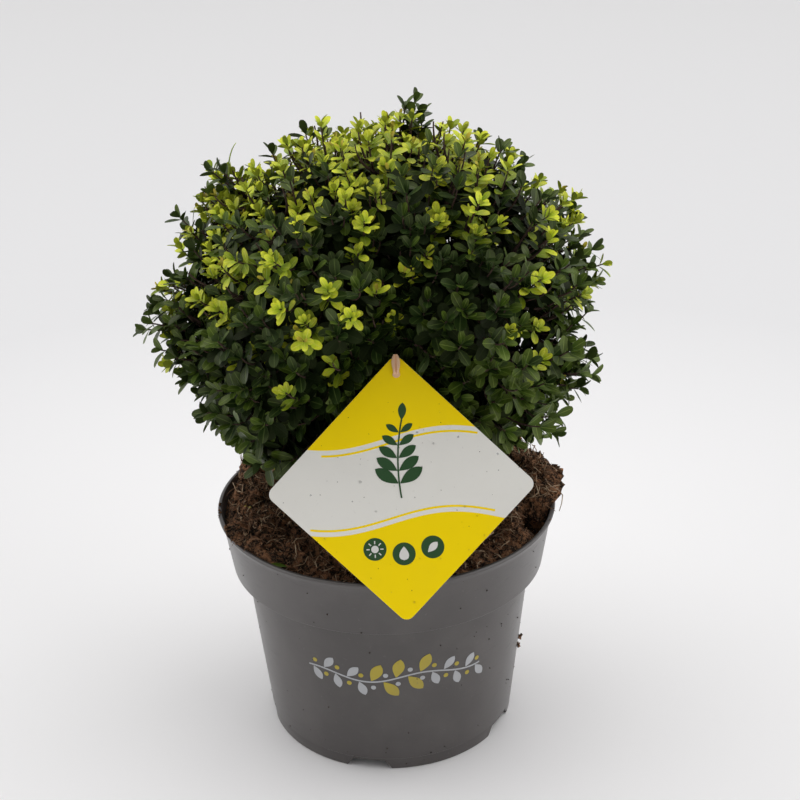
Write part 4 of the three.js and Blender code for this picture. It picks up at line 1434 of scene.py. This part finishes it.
sprig_paths = fine_twigs(sprig_dirs, sprig_tips, np.full(len(sprig_dirs), 0.3), 0.6)
print("twigs:", len(outer_dirs), len(inner_dirs), len(sprig_dirs))

# %% [markdown]
# Leaves stand round a twig on the golden angle. One leaf could be repeated as instances, but every leaf
# is folded, curled and grown by its own amount, so their points are worked out all at once. A blade has
# 24 triangles, enough for its oval outline and the fold at its midrib. `leaf_array` builds any number of
# them from base points and directions, and `clear_of_all` leaves out those that would reach past the
# outline, the card or the compost.

# %% Leaf arrays
ROWS = np.array([0.07, 0.23, 0.43, 0.65, 0.86, 0.965])
HALF_WIDTHS = np.array([0.18, 0.58, 0.91, 1.0, 0.77, 0.44])
blade = [[0, 0]]
for t, w in zip(ROWS, HALF_WIDTHS):
    blade += [[-w, t], [0, t], [w, t]]
blade = np.array([*blade, [0, 1]], float)
blade_faces = [[0, 2, 1], [0, 3, 2]]
for row in range(len(ROWS) - 1):
    a, b = 1 + 3 * row, 4 + 3 * row
    blade_faces += [[a, a + 1, b + 1], [a, b + 1, b], [a + 1, a + 2, b + 2], [a + 1, b + 2, b + 1]]
last = 1 + 3 * (len(ROWS) - 1)
blade_faces = np.array([*blade_faces, [last, last + 1, len(blade) - 1], [last + 1, last + 2, len(blade) - 1]])
blade_uv = np.stack([0.5 + 0.5 * np.sign(blade[:, 0]), blade[:, 1]], 1)


def leaf_array(bases, axes, normals, lengths, widths, folds, curls):
    """Vertices of every leaf, (n, 17, 3): x across the blade, y along it and z out of its upper face."""
    across = np.cross(axes, normals)
    x = blade[None, :, 0] * (widths / 2)[:, None]
    y = blade[None, :, 1] * lengths[:, None]
    fold = np.abs(blade[None, :, 0]) * (folds * widths)[:, None]
    z = fold - (curls * lengths)[:, None] * blade[None, :, 1] ** 2
    return (
        bases[:, None]
        + across[:, None] * x[..., None]
        + axes[:, None] * y[..., None]
        + normals[:, None] * z[..., None]
    )


ABOVE_COMPOST = 1.5
BEHIND_CARD = 4
BESIDE_CARD = 2
OVER_POT = 4


def clear_of_all(points, furthest):
    """Which leaves keep within their reach, over the compost and behind the card."""
    offset = points - CENTRE
    inside = (np.linalg.norm(offset, axis=-1) < furthest[:, None]).all(1)
    x, y, z = points[..., 0], points[..., 1], points[..., 2]
    over = (z > compost_top(x, y) + ABOVE_COMPOST).all(1)
    local = to_card_space(points)
    beside = np.abs(local[..., 0]) + np.abs(local[..., 1]) - HALF_DIAGONAL
    before = (beside < BESIDE_CARD) & (local[..., 2] > -BEHIND_CARD)
    past_lip = (np.hypot(x, y) > LIP_RADIUS - 6) & (z < POT_HEIGHT + OVER_POT)
    return inside & over & ~before.any(1) & ~past_lip.any(1)


def spray_leaves(paths, furthest, depth, spacing, tip_leaves, leafy):
    """Bases, directions and places on the twig for the leaves of every twig, down to a depth from its tip.

    leafy is each twig's share of leaves that it keeps below its first few. Low on the crown the leaves
    are older and larger.
    """
    length = np.linalg.norm(np.diff(paths, axis=1), axis=2).sum(1)
    made = {key: [] for key in ("base", "axis", "normal", "growth", "from_tip", "twig")}
    rows = np.arange(len(paths))
    clock = rng.random(len(paths)) * 2 * np.pi
    older = 1 + 0.16 * smooth(CENTRE[2] - paths[:, -1, 2], -30, 80)
    for n in range(tip_leaves + int(depth / spacing)):
        lower = max(0, n - tip_leaves + 1)
        back = 1.3 * min(n, tip_leaves) + lower * spacing * (0.9 + 0.2 * rng.random(len(paths)))
        share = 1 - back / length
        grows = (share > 0.15) & ((n < 3) | (rng.random(len(paths)) < leafy))
        base, along = part_way(paths, rows, share)
        aside = unit(np.cross(along, np.where(np.abs(along[:, 2:]) > 0.9, [1.0, 0, 0], [0.0, 0, 1.0])))
        turn = (clock + n * GOLDEN)[:, None]
        outward = aside * np.cos(turn) + np.cross(along, aside) * np.sin(turn)
        lean = min(0.45 + 0.17 * n, 1.25) + 0.35 * (rng.random((len(paths), 1)) - 0.5)
        axis = along * np.cos(lean) + outward * np.sin(lean)
        normal = along - axis * np.sum(along * axis, 1, keepdims=True)
        normal = unit(normal) + 0.4 * UP + 0.55 * (rng.random((len(paths), 3)) - 0.5)
        normal = unit(normal - axis * np.sum(normal * axis, 1, keepdims=True))
        growth = min(0.7 + 0.08 * n, 1.0) * (0.86 + 0.28 * rng.random(len(paths))) * older
        for key, value in zip(made, (base, axis, normal, growth, back, rows)):
            made[key].append(value[grows])
    made = {key: np.concatenate(value) for key, value in made.items()}
    made["furthest"] = furthest[made["twig"]]
    return made


outer_leafy = 0.55 + 0.45 * rng.random(len(outer_dirs)) + 0.25 * smooth(-outer_dirs[:, 0], 0.4, 0.8)
outer_leafy -= 0.15 * smooth(outer_dirs[:, 0], 0.45, 0.8) + 0.3 * airy_corner(outer_dirs)
outer = spray_leaves(outer_paths, outer_tips + 16, 34, 3.2, 4, outer_leafy)
inner = spray_leaves(inner_paths, inner_tips + 16, 40, 5.5, 3, 0.9 - 0.5 * airy_corner(inner_dirs))
sprigs = spray_leaves(sprig_paths, sprig_tips + 10, 46, 3.6, 4, np.full(len(sprig_dirs), 0.9))
print("leaves set on twigs:", [len(kind["twig"]) for kind in (outer, inner, sprigs)])

# %% [markdown]
# Now each spray is dealt its colours. They could be drawn leaf by leaf, but young leaves come out
# together, so a whole twig is in flush or not. A flush is likeliest on the top and on the left half,
# where the light falls, and rare low down on the right and in the hollow over the card, which fewer
# lime leaves keep darker as painted shade. On a twig in flush the last leaves are lime, with a second
# whorl between them, and the next ones fresh. All others darken with their distance from the tip, and
# the deep ones, far back in the sprays and inside the crown, are partly painted shade. Old leaves are
# dealt a lighter green on the lower right as painted light and darker colours in the hollow as painted
# shade.


# %% Colours by spray
TUFT_SHARE = 0.8
TUFT_TURN = 1.2
TUFT_DROP = 1.8
tuft_rng = np.random.default_rng(5)


def flush_chance(d):
    """How likely a twig that faces each way is to be in flush."""
    x, y, z = d.T
    top = smooth(z + 0.35 * y, 0.42, 0.82)
    left = smooth(-x - 0.15 * y, 0.1, 0.85) * smooth(z, -0.45, 0.1)
    front = np.exp(-((x + 0.42) ** 2) / 0.05 - (z - 0.4) ** 2 / 0.06) * (y < 0)
    back = smooth(y, 0.1, 0.6) * smooth(z, -0.1, 0.5)
    right = np.exp(-((x - 0.75) ** 2) / 0.08 - (z - 0.4) ** 2 / 0.05)
    shoulder = np.exp(-((x + 0.75) ** 2) / 0.06 - (z - 0.45) ** 2 / 0.06)
    patch = np.sin(6 * x - 5 * y + 7 * z) * np.sin(5 * x + 6 * y - 4 * z + 2)
    sides = 0.35 * left + 0.18 * front + 0.25 * back + 0.1 * right + 0.35 * shoulder
    chance = 0.03 + 0.95 * top * (1 - 0.75 * smooth(x, 0.5, 0.7)) + sides * (1 - top)
    chance = (chance + 0.13 * patch * smooth(z, -0.3, 0.3)) * smooth(z, -0.75, -0.1)
    # Fewer flushes in the hollow over the card leave it darker: painted shade.
    return np.clip(chance * (1 - 0.4 * hollow_front(d)), 0.015, 0.97)


def hollow_front(d):
    """The hollow over the card, whose old leaves are dealt the darkest colours as painted shade."""
    return np.exp((d @ facing(-76, 36) - 1) / (1 - math.cos(math.radians(24))))


def painted_light_and_shade(d):
    """Painted light and shade for the old leaves: a lighter green on the lower right as painted light,
    darkest in the hollow as painted shade.
    """
    return smooth(d[:, 0], 0.3, 0.7) * smooth(-d[:, 2], -0.65, 0.1) - 0.8 * hollow_front(d)


def deal_ages(leaves, chance, painted_light_share):
    """An age for every leaf, from its twig's flush, the painted light and shade where it stands, and its
    distance from the tip.
    """
    flush = rng.random(len(chance)) < chance
    young = np.where(flush, 7 + 10 * rng.random(len(chance)) + 8 * chance, 0)
    twig, back = leaves["twig"], leaves["from_tip"]
    roll = rng.random(len(twig))
    shade = rng.random(len(chance))[twig]
    age = np.full(len(twig), "dark", dtype=object)
    # Green near the tip, more of it on the lower right as painted light and less in the hollow as painted
    # shade.
    age[(back < 10 + 12 * painted_light_share[twig]) & (roll < 0.32 + 0.45 * shade + 0.4 * painted_light_share[twig])] = "green"
    # Leaves far back from the tip go deep: older leaves, darkened further as painted shade inside the sprays.
    age[(back > 14 + 12 * painted_light_share[twig]) & (roll > 0.15)] = "deep"
    age[back < young[twig] * 2.0] = "green"
    age[back < young[twig] * 1.5] = "fresh"
    age[(back < young[twig] * 1.05) & (roll < 0.82)] = "lime"
    age[(flush & (rng.random(len(chance)) < 0.35))[twig] & (back < 1.5)] = "bronze"
    return age


def tufted(leaves, paths):
    """Adds a second whorl between the young leaves of the tips, set a little lower and turned."""
    chosen = (leaves["age"] == "lime") & (leaves["from_tip"] < 8)
    chosen &= tuft_rng.random(len(chosen)) < TUFT_SHARE
    more = {key: value[chosen] for key, value in leaves.items()}
    along = unit(paths[more["twig"], -1] - paths[more["twig"], -2])
    for key in ("axis", "normal"):
        level = along * np.sum(along * more[key], 1, keepdims=True)
        aside = (more[key] - level) * math.cos(TUFT_TURN) + np.cross(along, more[key]) * math.sin(TUFT_TURN)
        more[key] = aside + level
    more["base"] = more["base"] - TUFT_DROP * along
    return {key: np.concatenate([leaves[key], more[key]]) for key in leaves}


outer["age"] = deal_ages(outer, flush_chance(outer_dirs), painted_light_and_shade(outer_dirs))
sprigs["age"] = deal_ages(sprigs, sprig_youth, painted_light_and_shade(sprig_dirs))
outer, sprigs = tufted(outer, outer_paths), tufted(sprigs, sprig_paths)
# Inner leaves are all deep: old leaves, darkened further as painted shade inside the crown.
inner["age"] = np.full(len(inner["twig"]), "deep", dtype=object)
every = {key: np.concatenate([outer[key], inner[key], sprigs[key]]) for key in outer}
count = len(every["twig"])
# Full lengths in millimetres, and widths as shares of them
LENGTHS = {"lime": 10.9, "fresh": 12.0, "green": 14.0, "dark": 14.6, "deep": 15.0, "bronze": 8.5}
SLIMNESS = {"lime": 0.52, "fresh": 0.52, "green": 0.51, "dark": 0.54, "deep": 0.57, "bronze": 0.44}
lengths = every["growth"] * np.array([LENGTHS[age] for age in every["age"]])
widths = lengths * np.array([SLIMNESS[age] for age in every["age"]]) * (0.92 + 0.16 * rng.random(count))
leaf_points = leaf_array(
    every["base"], every["axis"], every["normal"], lengths, widths,
    0.04 + 0.14 * rng.random(count), -0.04 + 0.2 * rng.random(count),
)
kept = clear_of_all(leaf_points, every["furthest"])
print("leaves:", int(kept.sum()), "of", count)

# %% [markdown]
# A few leaves have dropped on the compost. They could be strewn like the crumbs, but there are so few
# that each is listed with its place and heading. They are the same blades, lying almost level.

# %% Fallen leaves
# Each leaf as (x, y, heading, length, slimness, age)
DROPPED = [
    (-71, -96, 172, 14, 0.42, "green"),
    (-107, -33, 60, 9, 0.28, "bronze"),
    (-103, -30, 130, 7, 0.3, "bronze"),
]
x, y, heading, dropped_lengths, slimness = np.array([row[:5] for row in DROPPED], float).T
ground = settled(compost_top(x, y), np.hypot(x, y), np.arctan2(y, x)) + 2.5
dropped_axes = facing(heading, np.full(len(DROPPED), 6.0))
upper = unit(UP - dropped_axes * dropped_axes[:, 2:])
dropped_points = leaf_array(
    np.stack([x, y, ground], 1), dropped_axes, upper, dropped_lengths, dropped_lengths * slimness,
    np.full(len(DROPPED), 0.12), np.full(len(DROPPED), 0.1),
)
leaf_points = np.concatenate([leaf_points[kept], dropped_points])
leaf_ages = np.concatenate([every["age"][kept], [row[5] for row in DROPPED]])
print("fallen leaves:", len(DROPPED))

# %% [markdown]
# A leaf could be an object of its own, but all leaves of one age share a material, so they become one
# mesh. Where that would have too many triangles for one piece, they are shared out over several.

# %% Leaf pieces
ALL_MASSES = [f"foliage_{name}" for name in mass_names]
MOST_LEAVES = MOST_TRIANGLES // len(blade_faces)
for age, material in LEAF_AGES.items():
    chosen = leaf_points[leaf_ages == age]
    for part, start in enumerate(range(0, len(chosen), MOST_LEAVES)):
        some = chosen[start : start + MOST_LEAVES]
        faces = blade_faces[None] + len(blade) * np.arange(len(some))[:, None, None]
        name = f"leaves_{age}" + (f"_{part + 1}" if part else "")
        places = np.tile(blade_uv, (len(some), 1))
        obj = mesh_piece(name, some.reshape(-1, 3), faces.reshape(-1, 3), material, places)
        ride(obj, "foliage", *ALL_MASSES)
        print(name, len(some))

# %% [markdown]
# The twigs themselves are thin tubes, darker and redder than the limbs. Curves with a bevel could
# make them, but `tubes` wraps all of them at once, in one mesh with closed ends. A few bare tips stand
# out where the young growth is, and one long young stem rises on the left.

# %% Twigs
# A long bare young stem, as three points of (azimuth, elevation, share of the crown's reach)
YOUNG_STEM_PATH = [(173, 41, 0.95), (172, 46, 1.06), (169, 49, 1.08)]
bare_dirs = even_directions(BARE_TWIGS, 0.3)
bare_dirs = bare_dirs[flush_chance(bare_dirs) > 0.35]
bare_paths = fine_twigs(bare_dirs, reach(bare_dirs) * 0.975, lifts(bare_dirs), 0.7)
twig_paths = np.concatenate([outer_paths, inner_paths, sprig_paths, bare_paths])
main_radii = np.tile(np.linspace(2.6, 1.0, SHOOT_STEPS), (len(main_paths), 1))
twig_radii = np.tile(np.linspace(1.15, 0.5, TWIG_STEPS), (len(twig_paths), 1))
ride(mesh_piece("main_shoots", *tubes(main_paths, main_radii, 6), BARK), "bark")
twigs = ride(mesh_piece("twigs", *tubes(twig_paths, twig_radii, 4), TWIG), "bark")
young_stem = np.array([on_ray(facing(a, e), share) for a, e, share in YOUNG_STEM_PATH])
stem_path = curve_points(young_stem[:1], young_stem[1:2], young_stem[2:], 9)
stem_mesh = tubes(stem_path, np.linspace(0.75, 0.3, 9)[None], 5)
ride(mesh_piece("young_stem", *stem_mesh, YOUNG_STEM), "foliage")
print("twig faces:", len(twigs.data.polygons))

# %% [markdown]
# ## Stage, light and camera
#
# A wide pale floor under even light, overhead and from both sides, in a room that is brighter near the
# horizon. Area lamps could give it, but their light falls off from the crown to the pot, so the lamps are
# suns with a wide spread, which light all of the plant alike. The floor's colour is painted lighter
# round the plant, as painted light over the plant's shadow, and darker far off, as a painted fall-off of
# light.

# %% Stage
FLOOR_HALF = 9000
LAMP_SPREAD = 80
LAMPS = [("overhead", 100, 72, 1.64), ("right", -4, 24, 1.44), ("left", 176, 22, 0.96)]
# The floor's colour is painted lighter round the plant, over its own shadow, and darker far off: painted
# light and painted fall-off of light.
FLOOR_PAINTED_FALLOFF = ((0.2, 0.95), (0.95, 3.8))  # metres over which the floor's tone falls off, near and far
ROOM_HEIGHTS = (0.05, 0.35)  # from just over the horizon to a third of the way up
ROOM_STRENGTHS = (0.8, 0.23)

floor_points = [[x * FLOOR_HALF, y * FLOOR_HALF, 0] for x, y in ((-1, -1), (1, -1), (1, 1), (-1, 1))]
floor_material, floor_tree, floor_shader = new_material("floor", 0.6, specular=0.2)
floor_place = floor_tree.nodes.new("ShaderNodeTexCoord").outputs["Object"]
floor_distance = vector_maths(floor_tree, "LENGTH", floor_place).outputs["Value"]
painted_near_fade, painted_far_fade = [ranged(floor_tree, floor_distance, *fade) for fade in FLOOR_PAINTED_FALLOFF]
floor_near_painted_light = mixed(floor_tree, painted_near_fade, rgb(0.92, 0.91, 0.915), rgb(0.76, 0.755, 0.765))
floor_colour = mixed(floor_tree, painted_far_fade, floor_near_painted_light, rgb(0.69, 0.685, 0.69))
feed(floor_tree, floor_shader, Base_Color=floor_colour)
floor = mesh_piece("floor", floor_points, [[0, 1, 2, 3]], floor_material, flat=True)


def sunlight(name, azimuth, elevation, strength):
    """A broad soft light from one side."""
    light = bpy.data.lights.new(name, "SUN")
    light.energy = strength
    light.angle = math.radians(LAMP_SPREAD)
    lamp = bpy.data.objects.new(name, light)
    lamp.rotation_mode = "QUATERNION"
    lamp.rotation_quaternion = Vector(-facing(azimuth, elevation)).to_track_quat("-Z", "Y")
    bpy.context.scene.collection.objects.link(lamp)


for lamp in LAMPS:
    sunlight(*lamp)
print("lamps:", [name for name, *_ in LAMPS])
world = bpy.data.worlds.new("studio")
world.use_nodes = True
room = world.node_tree
skyward = axes_of(room, room.nodes.new("ShaderNodeTexCoord").outputs["Generated"])[2]
glow = ranged(room, skyward, *ROOM_HEIGHTS, *ROOM_STRENGTHS)
feed(room, room.nodes["Background"], Color=rgb(1.0, 0.995, 0.99), Strength=glow)
bpy.context.scene.world = world
bpy.context.scene.view_settings.view_transform = "Standard"

# %% [markdown]
# The camera looks down on the plant from the front. Its place, tilt and focal length could be tried until
# the picture looks right. But the lip, band and foot of the pot are level circles round one axis, so a
# pinhole camera was fitted to the ellipses that they make in the picture.

# %% Camera
FOCAL_PIXELS = 1464.6
PHOTO_PIXELS = 800
SENSOR = 36
CAMERA_PLACE = Vector((12.106, -999.872, 724.956)) * MM
CAMERA_DOWN = math.radians(24.636)
CAMERA_ROLL = math.radians(-1.306)

right = Vector((1, 0, 0))
forward = Vector((0, math.cos(CAMERA_DOWN), -math.sin(CAMERA_DOWN)))
up = right.cross(forward)
rolled_right = right * math.cos(CAMERA_ROLL) + up * math.sin(CAMERA_ROLL)
rolled_up = up * math.cos(CAMERA_ROLL) - right * math.sin(CAMERA_ROLL)
camera_data = bpy.data.cameras.new("camera")
camera_data.sensor_width = SENSOR
camera_data.lens = FOCAL_PIXELS / PHOTO_PIXELS * SENSOR
camera = bpy.data.objects.new("camera", camera_data)
camera.matrix_world = Matrix.Translation(CAMERA_PLACE) @ Matrix(
    (rolled_right, rolled_up, -forward)
).transposed().to_4x4()
bpy.context.scene.collection.objects.link(camera)
bpy.context.scene.camera = camera
print("camera stands at, in metres:", [round(value, 3) for value in CAMERA_PLACE])
